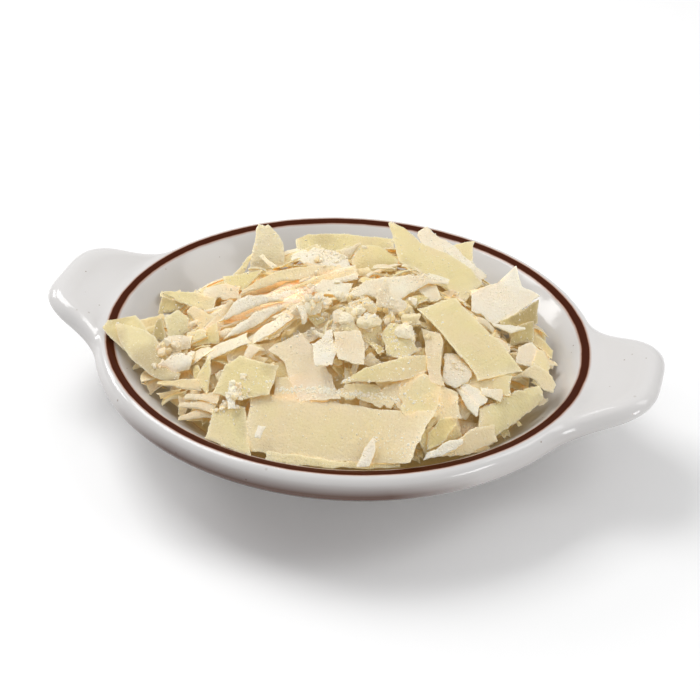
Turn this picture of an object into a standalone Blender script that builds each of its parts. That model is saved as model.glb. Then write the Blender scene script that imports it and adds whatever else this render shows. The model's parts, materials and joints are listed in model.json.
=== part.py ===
"""Two-eared oval stoneware dish, heaped with shaved hard cheese.

The dish stands on its foot ring, with its long axis and its ears along X.
The cheese is one solid: a core that fills the bowl, with the shavings that show fused on.
"""

import math
import random

import bmesh
import bpy
import numpy as np
from mathutils import Matrix, Vector

MM = 0.001

# Dish, in millimetres. The brown line runs round the inner edge of the rim.
LINE_HALF_LENGTH = 85.0
LINE_HALF_WIDTH = 76.0
RIM_HEIGHT = 34.0
EAR_REACH = 109.4
EAR_HALF_WIDTH = 27.6
EAR_FILLET = 9.5
EAR_SQUARENESS = 3.6
EAR_TIP_SQUARENESS = 6.0
EAR_LIFT = 8.0
THUMB_DIP = 1.6
THUMB_DIP_REACH = (8.0, 13.0)
RIM_SPREAD = 4.8
EDGE_SPREAD = 0.93
DIRECTIONS_IN_QUADRANT = 17
SHARP_ANGLE = 50.0

# Inner wall: distance inside the brown line, and depth below it.
INNER_WALL = ((1.6, 0.5), (3.4, 1.9), (6.2, 4.4), (10.2, 8.2), (16.0, 13.5), (23.0, 18.7), (32.0, 23.4),
              (43.0, 25.9))
FLOOR_DEPTH = 26.2

# Rim: distance in from the outer edge, and height over the brown line.
RIM_TOP_SHARES = (0.3, 0.65)  # of the way from the line to the roll
RIM_ROLL = ((2.83, 0.2), (1.63, -1.1), (0.93, -2.7), (0.37, -4.5), (0.0, -5.85))

# Underside: distance outside the line, depth below it, and how much of the ears is left.
UNDERSIDE = ((5.45, 6.85, 0.99), (4.2, 8.1, 0.94), (2.0, 10.2, 0.8), (-2.0, 13.2, 0.45), (-9.0, 17.2, 0.12),
             (-20.0, 22.9, 0.0), (-32.0, 29.6, 0.0), (-34.0, 33.2, 0.0), (-35.2, 34.0, 0.0),
             (-39.0, 34.0, 0.0), (-40.5, 32.4, 0.0))
FOOT_RECESS = 1.9

# Heap of shavings: a mound in the middle, and a lower filling that reaches the left and front wall.
HEAP_CLEARANCE = 0.75
CUT_CLEARANCE = 0.45
CUTTER_MARGIN = 3.0
HEAP_CENTRE = (3.0, -5.5)
HEAP_HALF_LENGTH = 69.0
HEAP_HALF_WIDTH = 63.0
HEAP_EDGE_HEIGHT = 31.0
HEAP_PEAK = 56.0
FILLING_CENTRE = (-6.0, -13.0)
FILLING_HALF_LENGTH = 69.0
FILLING_HALF_WIDTH = 57.0
FILLING_EDGE_HEIGHT = 31.2
FILLING_PEAK = 37.0
FILLING_CLEARANCE = 1.2
# Each mound's rings, as shares of its reach: the underside from the middle out, and the top back in.
CORE_RINGS = ((0.3, 0.55, 0.75, 0.9, 1.0), (0.98, 0.88, 0.72, 0.54, 0.34, 0.15))
FILLING_RINGS = ((0.5, 0.8, 0.9, 1.0), (0.97, 0.85, 0.5))
CORE_SHARE = 0.97
CORE_DROP = 2.6
CORE_SIDES = 36
CORE_LUMPS = ((1.1, 5, 2.1), (0.8, 9, -1.3))  # height, how many round the heap, twist from ring to ring
SHAVING_THICKNESS = 1.3
FOOT_SINK = 1.0
DEEPEST_FOOT = 8.0
FOOT_SHARE = 0.8
RAGGED_SIDES = 0.09
RAGGED_ENDS = 0.06
WELD = 0.001
SEED = 6

# The shavings that show best: centre, length, width, turn in plan, lean of the width, rise of the
# length, arch, and taper towards the far end. Lengths are in millimetres, angles in degrees.
BIG_SHAVINGS = {
    "front_strip": ((14.0, -59.0, 38.0), 61.0, 21.5, 7.0, 24.0, 1.0, 0.3, 0.0),
    "front_left_upper": ((-18.5, -50.5, 44.5), 20.0, 15.0, 11.0, 23.0, 7.0, 0.6, 0.1),
    "front_left_lower": ((-17.5, -65.0, 36.0), 16.0, 14.0, 0.0, 28.0, 3.0, 0.3, 0.0),
    "behind_front": ((0.5, -48.0, 43.5), 19.0, 10.0, 11.0, 25.0, 0.0, 0.3, 0.0),
    "middle_slab": ((-1.0, -40.5, 46.5), 29.0, 12.0, -44.0, 16.0, -13.0, 0.5, 0.0),
    "middle_square": ((12.0, -34.0, 53.5), 10.0, 13.0, 14.0, 17.0, 0.0, 0.3, 0.0),
    "middle_dusty": ((5.0, -37.5, 53.5), 11.0, 12.0, 49.0, 13.0, 8.0, 0.3, 0.1),
    "crescent": ((26.5, -37.0, 49.5), 32.0, 6.5, 38.0, 30.0, 0.0, 1.2, 0.4),
    "under_crescent": ((25.0, -40.5, 46.0), 28.0, 10.0, 17.0, 25.0, 1.0, 0.3, 0.0),
    "golden_right": ((38.5, -41.5, 44.5), 13.0, 15.0, 18.0, 22.0, 0.0, 0.3, 0.0),
    "right_strip": ((47.5, -14.5, 51.0), 38.0, 16.0, -32.0, 0.0, -17.0, 1.4, 0.0),
    "vertical_flake": ((38.5, -27.0, 50.0), 24.0, 6.0, -68.0, 4.0, -17.0, 0.8, 0.1),
    "crown_leaf": ((27.0, -26.0, 53.0), 11.0, 13.0, 22.0, 16.0, -5.0, 1.2, 0.2),
    "dusty_patch": ((46.5, -27.5, 47.0), 12.0, 14.0, -3.0, 14.0, -12.0, 0.3, 0.2),
    "right_long": ((58.0, -26.0, 44.0), 15.0, 7.5, 11.0, 21.0, -10.0, 0.3, 0.0),
    "star_plate": ((52.0, 20.0, 44.7), 21.0, 20.0, -9.0, 7.0, -10.0, 0.8, 0.0),
    "star_spike": ((51.0, 32.5, 47.4), 8.0, 9.0, -3.0, 17.0, -4.0, 0.2, 0.3),
    "star_side": ((59.0, 18.0, 42.5), 20.5, 7.5, 54.0, 49.0, -8.0, 0.3, 0.0),
    "olive_block": ((61.0, 12.0, 38.5), 13.0, 7.0, 46.0, 34.0, -2.0, 0.2, 0.0),
    "back_leaf": ((22.0, 33.0, 48.5), 50.0, 17.0, -34.0, 2.0, -8.0, 1.0, 0.0),
    "back_dusty": ((27.0, 44.0, 45.0), 35.0, 10.5, -26.0, 3.0, -7.0, 0.3, 0.2),
    "back_square": ((29.5, 52.0, 42.0), 11.5, 13.0, -3.0, 9.0, -1.0, 0.2, 0.0),
    "back_strip": ((-14.5, 44.5, 41.5), 38.5, 10.5, 13.0, 13.0, 1.0, 0.3, 0.0),
    "back_dome": ((3.5, 24.0, 49.5), 17.0, 11.0, 23.0, 21.0, 4.0, 1.6, 0.1),
    "back_scallop": ((-16.5, 24.0, 47.5), 24.5, 9.5, -2.0, 12.0, 7.0, 0.8, 0.1),
    "standing_leaf": ((-37.0, 23.0, 45.5), 20.0, 12.0, 113.0, 5.0, 35.0, 0.8, 0.5),
    "standing_blade": ((-44.5, 15.5, 43.5), 15.0, 3.0, 78.0, 4.0, 20.0, 0.2, 0.5),
    "stack_top": ((-20.5, 4.0, 50.0), 37.0, 6.5, 29.0, 18.0, 7.0, 1.0, 0.1),
    "stack_olive": ((-40.5, 2.0, 46.5), 13.0, 8.5, 18.0, 12.0, 7.0, 0.3, 0.0),
    "stack_low": ((-44.5, -5.5, 45.0), 14.0, 7.5, 11.0, 15.0, 6.0, 0.3, 0.1),
    "left_point": ((-56.5, -10.0, 41.5), 25.0, 5.5, -17.0, 26.0, 7.0, 0.6, 0.0),
    "left_under": ((-62.5, -10.0, 39.0), 10.0, 6.5, -9.0, 30.0, 8.0, 0.2, 0.2),
    "left_block": ((-55.0, -24.0, 40.5), 8.0, 11.5, 32.0, 20.0, 8.0, 0.2, 0.2),
    "left_block_behind": ((-59.5, -26.0, 39.0), 6.5, 9.0, 34.0, 19.0, 15.0, 0.2, 0.0),
    "petal_white": ((-29.5, -16.5, 47.5), 24.0, 5.5, 35.0, 25.0, 11.0, 0.8, 0.0),
    "blade_white": ((-25.5, -23.0, 48.0), 26.0, 4.0, 51.0, 23.0, 10.0, 0.6, 0.0),
    "overhang": ((-72.5, -30.0, 37.3), 19.5, 11.5, -24.0, 15.0, 0.0, 0.3, 0.0),
    "overhang_upper": ((-60.5, -37.5, 38.3), 39.0, 8.5, -32.0, 17.0, -2.0, 1.0, 0.0),
    "lobe_upper": ((-50.5, -34.5, 41.5), 12.5, 5.5, 21.0, 22.0, 12.0, 0.6, 0.0),
    "lobe_lower": ((-47.0, -43.0, 39.5), 11.5, 7.0, 5.0, 25.0, 9.0, 0.3, 0.0),
    "sliver_low": ((-42.0, -51.5, 38.0), 18.0, 4.0, -6.0, 30.0, 14.0, 0.2, 0.0),
    "sliver_front": ((-32.5, -58.0, 36.5), 15.0, 5.0, -9.0, 24.0, 18.0, 0.2, 0.0),
    "top_arch": ((18.0, -1.5, 56.4), 40.0, 7.5, 37.0, 16.0, -3.0, 1.6, 0.1),
    "top_spike": ((18.5, -11.0, 60.3), 12.0, 6.0, 110.0, -10.0, 44.0, 0.2, 0.8),
    "scallop": ((46.0, -43.5, 41.5), 13.0, 11.0, 35.0, 26.0, 5.0, 0.3, 0.0),
    "translucent": ((48.0, -50.5, 38.0), 14.5, 5.0, 56.0, 34.0, 9.0, 0.2, 0.2),
    "right_leaf": ((66.0, -33.5, 37.3), 30.0, 10.0, 56.0, 40.0, 1.0, 0.8, 0.1),
    "right_low": ((57.0, -49.0, 36.3), 18.0, 6.0, 40.0, 47.0, 4.0, 0.3, 0.0),
    "right_curl": ((71.0, -14.5, 40.4), 14.0, 6.0, -1.0, 24.0, -7.0, 1.2, 0.1),
    "right_curl_arm": ((71.0, -7.5, 41.6), 11.0, 6.0, -35.0, 4.0, -4.0, 0.2, 0.3),
    "right_behind": ((66.0, -6.5, 42.6), 8.0, 10.0, 17.0, 14.0, -12.0, 0.2, 0.0),
}
LONG_SHAVING = 24.0
LONG_STEPS = (6, 2)
SHORT_STEPS = (3, 1)

# Leaves that lie on each other like the pages of a book, in rows on the left of the heap. Each row
# runs from one place to another.
PAGE_ROWS = (((-41.0, -20.0, 42.0), (-33.0, 4.0, 45.5)), ((-34.0, -24.0, 42.5), (-17.0, 5.0, 48.5)),
             ((-21.0, -10.0, 47.5), (-6.0, 9.0, 51.5)))
PAGES_IN_ROW = 5
PAGE_LENGTH = (20.0, 30.0)
PAGE_WIDTH = (6.0, 9.0)
PAGE_TURN = (32.0, 44.0)
PAGE_LEAN = (14.0, 24.0)
PAGE_RISE = (5.0, 11.0)
PAGE_ARCH = 0.8
PAGE_STEPS = (3, 1)
# Smaller shavings, spread over the rest of the dome.
SMALL_COUNT = 28
SMALL_LENGTH = (9.0, 17.0)
SMALL_WIDTH = (6.0, 11.0)
SMALL_TILT = 24.0
SMALL_ARCH = 0.4
SMALL_REACH = 0.96
SMALL_STEPS = (2, 1)
SMALL_SINK = 1.4
LOOSE_TAPER = 0.3  # of the pages and the small shavings

# Linear colours, roughness and metallic value.
GLAZE = ((0.80, 0.78, 0.75), 0.15, 0.0)
CHEESE = ((0.86, 0.72, 0.42), 0.55, 0.0)


def clear_scene():
    for obj in list(bpy.data.objects):
        bpy.data.objects.remove(obj)


def material(name, look):
    colour, roughness, metallic = look
    made = bpy.data.materials.new(name)
    made.use_nodes = True
    shader = made.node_tree.nodes["Principled BSDF"]
    shader.inputs["Base Color"].default_value = (*colour, 1.0)
    shader.inputs["Roughness"].default_value = roughness
    shader.inputs["Metallic"].default_value = metallic
    return made


def rim_outline(angles, shrink, ear_share=1.0):
    """Radius, along each direction, of the rim's oval smoothly joined to the two ears."""
    half_length = LINE_HALF_LENGTH + RIM_SPREAD
    half_width = LINE_HALF_WIDTH + RIM_SPREAD
    cos, sin = np.abs(np.cos(angles)), np.abs(np.sin(angles))
    oval = 1 / np.hypot(cos / (half_length + EDGE_SPREAD - shrink), sin / (half_width + EDGE_SPREAD - shrink))
    low, high = oval.copy(), np.full(angles.shape, 1.5 * EAR_REACH)
    for _ in range(40):
        middle = (low + high) / 2
        x, y = middle * cos, middle * sin
        to_oval = (np.hypot(x / half_length, y / half_width) - 1) * half_width
        squared = (x / EAR_REACH) ** EAR_TIP_SQUARENESS + (y / EAR_HALF_WIDTH) ** EAR_SQUARENESS
        to_ear = (squared ** (1 / EAR_SQUARENESS) - 1) * EAR_HALF_WIDTH
        mix = np.clip(0.5 + 0.5 * (to_ear - to_oval) / EAR_FILLET, 0, 1)
        outside = to_ear * (1 - mix) + to_oval * mix - EAR_FILLET * mix * (1 - mix) > EDGE_SPREAD - shrink
        high = np.where(outside, middle, high)
        low = np.where(outside, low, middle)
    return oval + (high - oval) * ear_share


def directions():
    """Angles round the dish, alike in each quadrant, at even steps along the rim's outline."""
    fine = np.linspace(0, math.pi / 2, 400)
    radius = rim_outline(fine, 0.0)
    x, y = radius * np.cos(fine), radius * np.sin(fine)
    along = np.concatenate([[0], np.cumsum(np.hypot(np.diff(x), np.diff(y)))])
    quadrant = np.interp(np.linspace(0, along[-1], DIRECTIONS_IN_QUADRANT + 1), along, fine)[:-1]
    mirrored = np.concatenate([quadrant, math.pi - quadrant[:0:-1], [math.pi / 2]])
    half = np.sort(mirrored)
    return np.concatenate([half, half + math.pi])


def oval_radius(angles, outwards):
    return 1 / np.hypot(np.cos(angles) / (LINE_HALF_LENGTH + outwards), np.sin(angles) / (LINE_HALF_WIDTH + outwards))


def ear_rise(angles, radius):
    """How far the ears rise over the rim, with the shallow dip that a thumb rests in."""
    x, y = radius * np.cos(angles), radius * np.sin(angles)
    edge = LINE_HALF_LENGTH + RIM_SPREAD
    beyond = (np.hypot(x / edge, y / (LINE_HALF_WIDTH + RIM_SPREAD)) - 1) * edge
    share = np.clip(beyond / (EAR_REACH - edge), 0, 1.3)
    middle = (edge + EAR_REACH) / 2 + 1
    dip = np.exp(-(((np.abs(x) - middle) / THUMB_DIP_REACH[0]) ** 2) - (y / THUMB_DIP_REACH[1]) ** 2)
    return EAR_LIFT * share - THUMB_DIP * dip


def upper_rings(angles):
    """The dish's upper surface from the middle outwards, as rings of points."""
    rings = []
    for inwards, depth in reversed(INNER_WALL):
        radius = oval_radius(angles, -inwards)
        rings.append((radius, np.full(angles.shape, RIM_HEIGHT - depth)))
    line = oval_radius(angles, 0.0)
    rings.append((line, np.full(angles.shape, RIM_HEIGHT)))
    crest = rim_outline(angles, RIM_ROLL[0][0])
    for share in RIM_TOP_SHARES:
        radius = line + (crest - line) * share
        rings.append((radius, RIM_HEIGHT + RIM_ROLL[0][1] * share + ear_rise(angles, radius)))
    for inwards, height in RIM_ROLL:
        radius = rim_outline(angles, inwards)
        rings.append((radius, RIM_HEIGHT + height + ear_rise(angles, radius)))
    return rings


def lower_rings(angles):
    """The underside, from the outer edge to the inside of the foot ring."""
    rings = []
    for outwards, depth, ear_share in UNDERSIDE:
        if ear_share:
            radius = rim_outline(angles, RIM_SPREAD + EDGE_SPREAD - outwards, ear_share)
            rise = ear_rise(angles, radius)
        else:
            radius = oval_radius(angles, outwards)
            rise = 0.0
        rings.append((radius, np.full(angles.shape, RIM_HEIGHT - depth) + rise))
    return rings


def mesh_of_rings(name, angles, rings, first_height, last_height):
    """A closed mesh of rings about the dish's axis, each a radius and a height for every direction."""
    loops = [(radius * np.cos(angles), radius * np.sin(angles), height) for radius, height in rings]
    return mesh_of_loops(name, loops, (0, 0), first_height, last_height)


def mesh_of_loops(name, rings, centre, first_height, last_height):
    """A closed mesh of loops of points, with a fan of faces at each end."""
    shape = bmesh.new()
    loops = [[shape.verts.new(Vector(point) * MM) for point in zip(*ring)] for ring in rings]
    count = len(loops[0])
    for inner, outer in zip(loops, loops[1:]):
        for i in range(count):
            k = (i + 1) % count
            shape.faces.new((inner[i], outer[i], outer[k], inner[k]))
    for loop, height in ((loops[0], first_height), (loops[-1], last_height)):
        middle = shape.verts.new(Vector((*centre, height)) * MM)
        for i in range(count):
            shape.faces.new((middle, loop[i], loop[(i + 1) % count]))
    bmesh.ops.recalc_face_normals(shape, faces=shape.faces)
    return object_of(name, shape)


def object_of(name, shape):
    """An object of the shape in triangles, because a bent four-sided face confuses the Booleans."""
    bmesh.ops.triangulate(shape, faces=shape.faces)
    mesh = bpy.data.meshes.new(name)
    shape.to_mesh(mesh)
    shape.free()
    obj = bpy.data.objects.new(name, mesh)
    bpy.context.scene.collection.objects.link(obj)
    return obj


def make_dish(angles):
    rings = upper_rings(angles) + lower_rings(angles)
    dish = mesh_of_rings("dish", angles, rings, RIM_HEIGHT - FLOOR_DEPTH, FOOT_RECESS)
    dish.data.materials.append(material("glaze", GLAZE))
    dish.data.shade_smooth()
    dish.data.set_sharp_from_angle(angle=math.radians(SHARP_ANGLE))
    return dish


def dome_height(x, y):
    """Height of the heap's even outline over a point of the plan."""
    across = ((x - HEAP_CENTRE[0]) / HEAP_HALF_LENGTH) ** 2 + ((y - HEAP_CENTRE[1]) / HEAP_HALF_WIDTH) ** 2
    return HEAP_EDGE_HEIGHT + (HEAP_PEAK - HEAP_EDGE_HEIGHT) * (1 - across)


def core_height(x, y):
    """Height of the core's top, which lies under the shavings."""
    return dome_height(x, y) - CORE_DROP


def filling_height(x, y):
    """Height of the lower filling over a point of the plan."""
    across = ((x - FILLING_CENTRE[0]) / FILLING_HALF_LENGTH) ** 2 + ((y - FILLING_CENTRE[1]) / FILLING_HALF_WIDTH) ** 2
    return FILLING_EDGE_HEIGHT + (FILLING_PEAK - FILLING_EDGE_HEIGHT) * (1 - across)


def bowl_height(x, y):
    """Height of the bowl's inner surface over points of the plan."""
    low, high = np.zeros(np.shape(x)), np.full(np.shape(x), LINE_HALF_WIDTH - 0.1)
    for _ in range(30):
        middle = (low + high) / 2
        within = np.hypot(x / (LINE_HALF_LENGTH - middle), y / (LINE_HALF_WIDTH - middle)) < 1
        low = np.where(within, middle, low)
        high = np.where(within, high, middle)
    inwards, depths = zip((0.0, 0.0), *INNER_WALL)
    return RIM_HEIGHT - np.interp(low, inwards, depths)


def mound(name, centre, half_length, half_width, clearance, heights, ring_shares):
    """A filling of the bowl: its underside follows the bowl, and its top is a low uneven dome."""
    angles = np.linspace(0, 2 * math.pi, CORE_SIDES, endpoint=False)
    lower, upper = ring_shares

    def ring(share):
        reach = CORE_SHARE * share
        return centre[0] + half_length * reach * np.cos(angles), centre[1] + half_width * reach * np.sin(angles)

    rings = []
    for share in lower:
        x, y = ring(share)
        rings.append((x, y, bowl_height(x, y) + clearance))
    for step, share in enumerate(upper):
        x, y = ring(share)
        lumps = sum(high * np.sin(count * angles + twist * step) for high, count, twist in CORE_LUMPS)
        rings.append((x, y, heights(x, y) + lumps * share))
    bottom = RIM_HEIGHT - FLOOR_DEPTH + clearance
    return mesh_of_loops(name, rings, centre, bottom, heights(*centre))


def make_core():
    return mound("cheese", HEAP_CENTRE, HEAP_HALF_LENGTH, HEAP_HALF_WIDTH, HEAP_CLEARANCE, core_height, CORE_RINGS)


def make_filling():
    return mound("filling", FILLING_CENTRE, FILLING_HALF_LENGTH, FILLING_HALF_WIDTH, FILLING_CLEARANCE,
                 filling_height, FILLING_RINGS)


def foot_depth(place):
    """How far a shaving's underside reaches down, so that it stands on what is under it."""
    x, y, height = place
    under = max(core_height(x, y), filling_height(x, y))
    return min(max(height - under + FOOT_SINK, SHAVING_THICKNESS), DEEPEST_FOOT)


def shaving(name, place, length, width, turn, lean, rise, arch, taper, steps, draw, foot=SHAVING_THICKNESS):
    """A slab with ragged edges, arched along its length. One that reaches far down narrows on the way."""
    columns, rows = steps
    shape = bmesh.new()
    layers = []
    ragged = [[draw.uniform(-RAGGED_SIDES, RAGGED_SIDES) for _ in range(columns + 1)] for _ in range(2)]
    ends = [[draw.uniform(-RAGGED_ENDS, RAGGED_ENDS) for _ in range(rows + 1)] for _ in range(2)]
    narrowed = FOOT_SHARE if foot > SHAVING_THICKNESS else 1.0
    top_height = SHAVING_THICKNESS / 2
    for height, shrink in ((top_height, 1.0), (top_height - foot, narrowed)):
        layer = []
        for i in range(columns + 1):
            u = 2 * i / columns - 1
            half_width = width / 2 * (1 - taper * (u + 1) / 2)
            for j in range(rows + 1):
                v = 2 * j / rows - 1
                end = ends[0][j] * (1 - u) / 2 + ends[1][j] * (1 + u) / 2
                edge = ragged[0][i] * (1 - v) / 2 + ragged[1][i] * (1 + v) / 2
                x = length / 2 * (u + end) * shrink
                y = (half_width * v + width * edge) * shrink
                z = arch * (0.5 - u * u) + height
                layer.append(shape.verts.new(Vector((x, y, z)) * MM))
        layers.append(layer)
    top, bottom = layers
    across = rows + 1
    for i in range(columns):
        for j in range(rows):
            a, b = i * across + j, (i + 1) * across + j
            shape.faces.new((top[a], top[b], top[b + 1], top[a + 1]))
            shape.faces.new((bottom[a], bottom[a + 1], bottom[b + 1], bottom[b]))
    border = [i * across for i in range(columns + 1)]
    border += [columns * across + j for j in range(1, across)]
    border += [i * across + rows for i in range(columns - 1, -1, -1)]
    border += list(range(rows - 1, 0, -1))
    for a, b in zip(border, border[1:] + border[:1]):
        shape.faces.new((top[a], bottom[a], bottom[b], top[b]))
    turned = Matrix.Rotation(math.radians(turn), 4, "Z")
    turned @= Matrix.Rotation(math.radians(-rise), 4, "Y") @ Matrix.Rotation(math.radians(lean), 4, "X")
    shape.transform(Matrix.Translation(Vector(place) * MM) @ turned)
    bmesh.ops.recalc_face_normals(shape, faces=shape.faces)
    return object_of(name, shape)


def page_places(draw):
    """Place, size, turn, lean and rise of each leaf in the rows."""
    for start, stop in PAGE_ROWS:
        for page in range(PAGES_IN_ROW):
            share = page / (PAGES_IN_ROW - 1)
            place = tuple(a + (b - a) * share for a, b in zip(start, stop))
            size = draw.uniform(*PAGE_LENGTH), draw.uniform(*PAGE_WIDTH)
            yield place, size, (draw.uniform(*PAGE_TURN), draw.uniform(*PAGE_LEAN), draw.uniform(*PAGE_RISE))


def small_places(draw):
    """Places of the small shavings, evenly over the dome by the golden angle."""
    golden = math.pi * (3 - math.sqrt(5))
    for k in range(SMALL_COUNT):
        reach = SMALL_REACH * math.sqrt((k + 0.5) / SMALL_COUNT)
        x = HEAP_CENTRE[0] + HEAP_HALF_LENGTH * reach * math.cos(k * golden)
        y = HEAP_CENTRE[1] + HEAP_HALF_WIDTH * reach * math.sin(k * golden)
        yield x, y, draw.uniform(0, 360)


def make_shavings(draw):
    made = []
    for name, (place, length, width, turn, lean, rise, arch, taper) in BIG_SHAVINGS.items():
        steps = LONG_STEPS if length > LONG_SHAVING else SHORT_STEPS
        foot = foot_depth(place)
        made.append(shaving(name, place, length, width, turn, lean, rise, arch, taper, steps, draw, foot))
    for place, (length, width), (turn, lean, rise) in page_places(draw):
        foot = foot_depth(place)
        made.append(shaving("page", place, length, width, turn, lean, rise, PAGE_ARCH, LOOSE_TAPER, PAGE_STEPS,
                            draw, foot))
    for x, y, turn in small_places(draw):
        length, width = draw.uniform(*SMALL_LENGTH), draw.uniform(*SMALL_WIDTH)
        lean, rise = draw.uniform(-SMALL_TILT, SMALL_TILT), draw.uniform(-SMALL_TILT, SMALL_TILT)
        place = (x, y, dome_height(x, y) - SMALL_SINK)
        made.append(shaving("small", place, length, width, turn, lean, rise, SMALL_ARCH, LOOSE_TAPER, SMALL_STEPS,
                            draw))
    return made


def boolean(obj, operation, collection=None, other=None):
    """Applies a Boolean to obj, as the evaluated mesh."""
    modifier = obj.modifiers.new(operation.lower(), "BOOLEAN")
    modifier.operation = operation
    modifier.solver = "EXACT"
    if collection:
        modifier.operand_type = "COLLECTION"
        modifier.collection = collection
    else:
        modifier.object = other
    bpy.context.view_layer.update()
    graph = bpy.context.evaluated_depsgraph_get()
    result = bpy.data.meshes.new_from_object(obj.evaluated_get(graph))
    obj.modifiers.clear()
    obj.data = result


def keep_largest(obj):
    """Drops loose scraps, and the inner skins of hollows that fusing has sealed."""
    shape = bmesh.new()
    shape.from_mesh(obj.data)
    bmesh.ops.triangulate(shape, faces=shape.faces)
    bmesh.ops.remove_doubles(shape, verts=shape.verts, dist=WELD * MM)
    shape.faces.ensure_lookup_table()
    seen, islands = set(), []
    for face in shape.faces:
        if face.index in seen:
            continue
        island, stack = [], [face]
        seen.add(face.index)
        while stack:
            current = stack.pop()
            island.append(current)
            for edge in current.edges:
                for other in edge.link_faces:
                    if other.index not in seen:
                        seen.add(other.index)
                        stack.append(other)
        islands.append(island)
    largest = max(islands, key=len)
    dropped = [face for island in islands if island is not largest for face in island]
    bmesh.ops.delete(shape, geom=dropped, context="FACES")
    shape.to_mesh(obj.data)
    shape.free()


def make_cheese(angles):
    """The core with its shavings fused on, cut clear of the dish."""
    draw = random.Random(SEED)
    cheese = make_core()
    pile = bpy.data.collections.new("shavings")
    bpy.context.scene.collection.children.link(pile)
    pieces = [make_filling()] + make_shavings(draw)
    for piece in pieces:
        bpy.context.scene.collection.objects.unlink(piece)
        pile.objects.link(piece)
    boolean(cheese, "UNION", collection=pile)
    for piece in pieces:
        bpy.data.objects.remove(piece)
    bpy.data.collections.remove(pile)

    raised = [(radius, height + CUT_CLEARANCE) for radius, height in upper_rings(angles)]
    outer_radius = raised[-1][0] + CUTTER_MARGIN
    raised += [(outer_radius, raised[-1][1]), (outer_radius, np.full(angles.shape, -CUTTER_MARGIN))]
    floor = RIM_HEIGHT - FLOOR_DEPTH + CUT_CLEARANCE
    cutter = mesh_of_rings("cutter", angles, raised, floor, -CUTTER_MARGIN)
    boolean(cheese, "DIFFERENCE", other=cutter)
    bpy.data.objects.remove(cutter)
    keep_largest(cheese)
    cheese.data.materials.clear()
    cheese.data.materials.append(material("cheese", CHEESE))
    return cheese


def main():
    clear_scene()
    angles = directions()
    make_dish(angles)
    make_cheese(angles)


main()
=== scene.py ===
import json
import math

import bpy
import numpy as np
from mathutils import Euler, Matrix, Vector, noise
from mathutils.bvhtree import BVHTree

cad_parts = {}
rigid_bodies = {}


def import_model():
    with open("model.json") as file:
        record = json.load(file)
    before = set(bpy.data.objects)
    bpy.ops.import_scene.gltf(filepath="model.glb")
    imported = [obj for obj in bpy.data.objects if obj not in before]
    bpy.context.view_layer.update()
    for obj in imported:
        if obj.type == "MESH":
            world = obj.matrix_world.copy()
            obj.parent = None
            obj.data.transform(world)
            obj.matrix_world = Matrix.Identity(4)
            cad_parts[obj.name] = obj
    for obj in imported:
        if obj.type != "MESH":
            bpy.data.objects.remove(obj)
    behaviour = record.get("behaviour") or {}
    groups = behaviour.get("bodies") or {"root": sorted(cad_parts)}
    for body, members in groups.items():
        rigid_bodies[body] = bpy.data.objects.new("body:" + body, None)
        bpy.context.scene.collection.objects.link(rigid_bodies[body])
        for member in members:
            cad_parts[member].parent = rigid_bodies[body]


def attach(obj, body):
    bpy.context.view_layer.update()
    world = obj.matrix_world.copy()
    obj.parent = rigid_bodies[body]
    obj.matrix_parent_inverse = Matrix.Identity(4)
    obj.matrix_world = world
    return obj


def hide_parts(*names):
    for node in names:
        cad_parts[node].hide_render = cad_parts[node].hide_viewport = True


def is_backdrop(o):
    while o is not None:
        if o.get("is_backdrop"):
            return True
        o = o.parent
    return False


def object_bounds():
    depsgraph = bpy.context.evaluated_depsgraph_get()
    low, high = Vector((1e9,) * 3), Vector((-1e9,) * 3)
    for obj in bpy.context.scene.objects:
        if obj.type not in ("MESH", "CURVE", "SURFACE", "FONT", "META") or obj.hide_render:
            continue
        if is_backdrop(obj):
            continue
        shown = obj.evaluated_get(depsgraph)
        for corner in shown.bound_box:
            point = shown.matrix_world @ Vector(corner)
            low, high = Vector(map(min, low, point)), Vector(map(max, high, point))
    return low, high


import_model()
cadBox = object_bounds()
print("frame loaded")

mm = 0.001  # sizes below are in millimetres until they become a mesh
sharpAngle = math.radians(34)


# Small helpers

# a smooth curve through the points, of any number of columns
def smoothPath(points, steps):
    points = np.array(points, float)
    padded = np.vstack([2 * points[0] - points[1], points, 2 * points[-1] - points[-2]])
    parts = []
    for k in range(len(points) - 1):
        a, b, c, d = padded[k:k + 4]
        t = np.linspace(0, 1, steps, endpoint=False)[:, None]
        bend = (2 * a - 5 * b + 4 * c - d) * t ** 2 + (3 * b - a - 3 * c + d) * t ** 3
        parts.append(0.5 * (2 * b + (c - a) * t + bend))
    return np.vstack(parts + [points[-1:]])


# rough numbers along a line: random heights, joined softly, at several scales
def raggedLine(rng, count, scales):
    places = np.linspace(0, 1, count)
    total = np.zeros(count)
    for knots, amount in scales:
        heights = rng.uniform(-1, 1, knots + 1)
        total += amount * np.interp(places, np.linspace(0, 1, knots + 1), heights)
    return total


# rough numbers over a grid
def raggedSheet(rng, rows, columns, cellsDown, cellsAcross, amount):
    coarse = rng.uniform(-1, 1, (cellsDown + 1, cellsAcross + 1))
    down = np.linspace(0, cellsDown, rows)
    across = np.linspace(0, cellsAcross, columns)
    i = np.minimum(down.astype(int), cellsDown - 1)
    j = np.minimum(across.astype(int), cellsAcross - 1)
    s, t = down - i, across - j
    s, t = s * s * (3 - 2 * s), t * t * (3 - 2 * t)
    top = coarse[i][:, j] * (1 - t) + coarse[i][:, j + 1] * t
    low = coarse[i + 1][:, j] * (1 - t) + coarse[i + 1][:, j + 1] * t
    return amount * (top * (1 - s[:, None]) + low * s[:, None])


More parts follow.
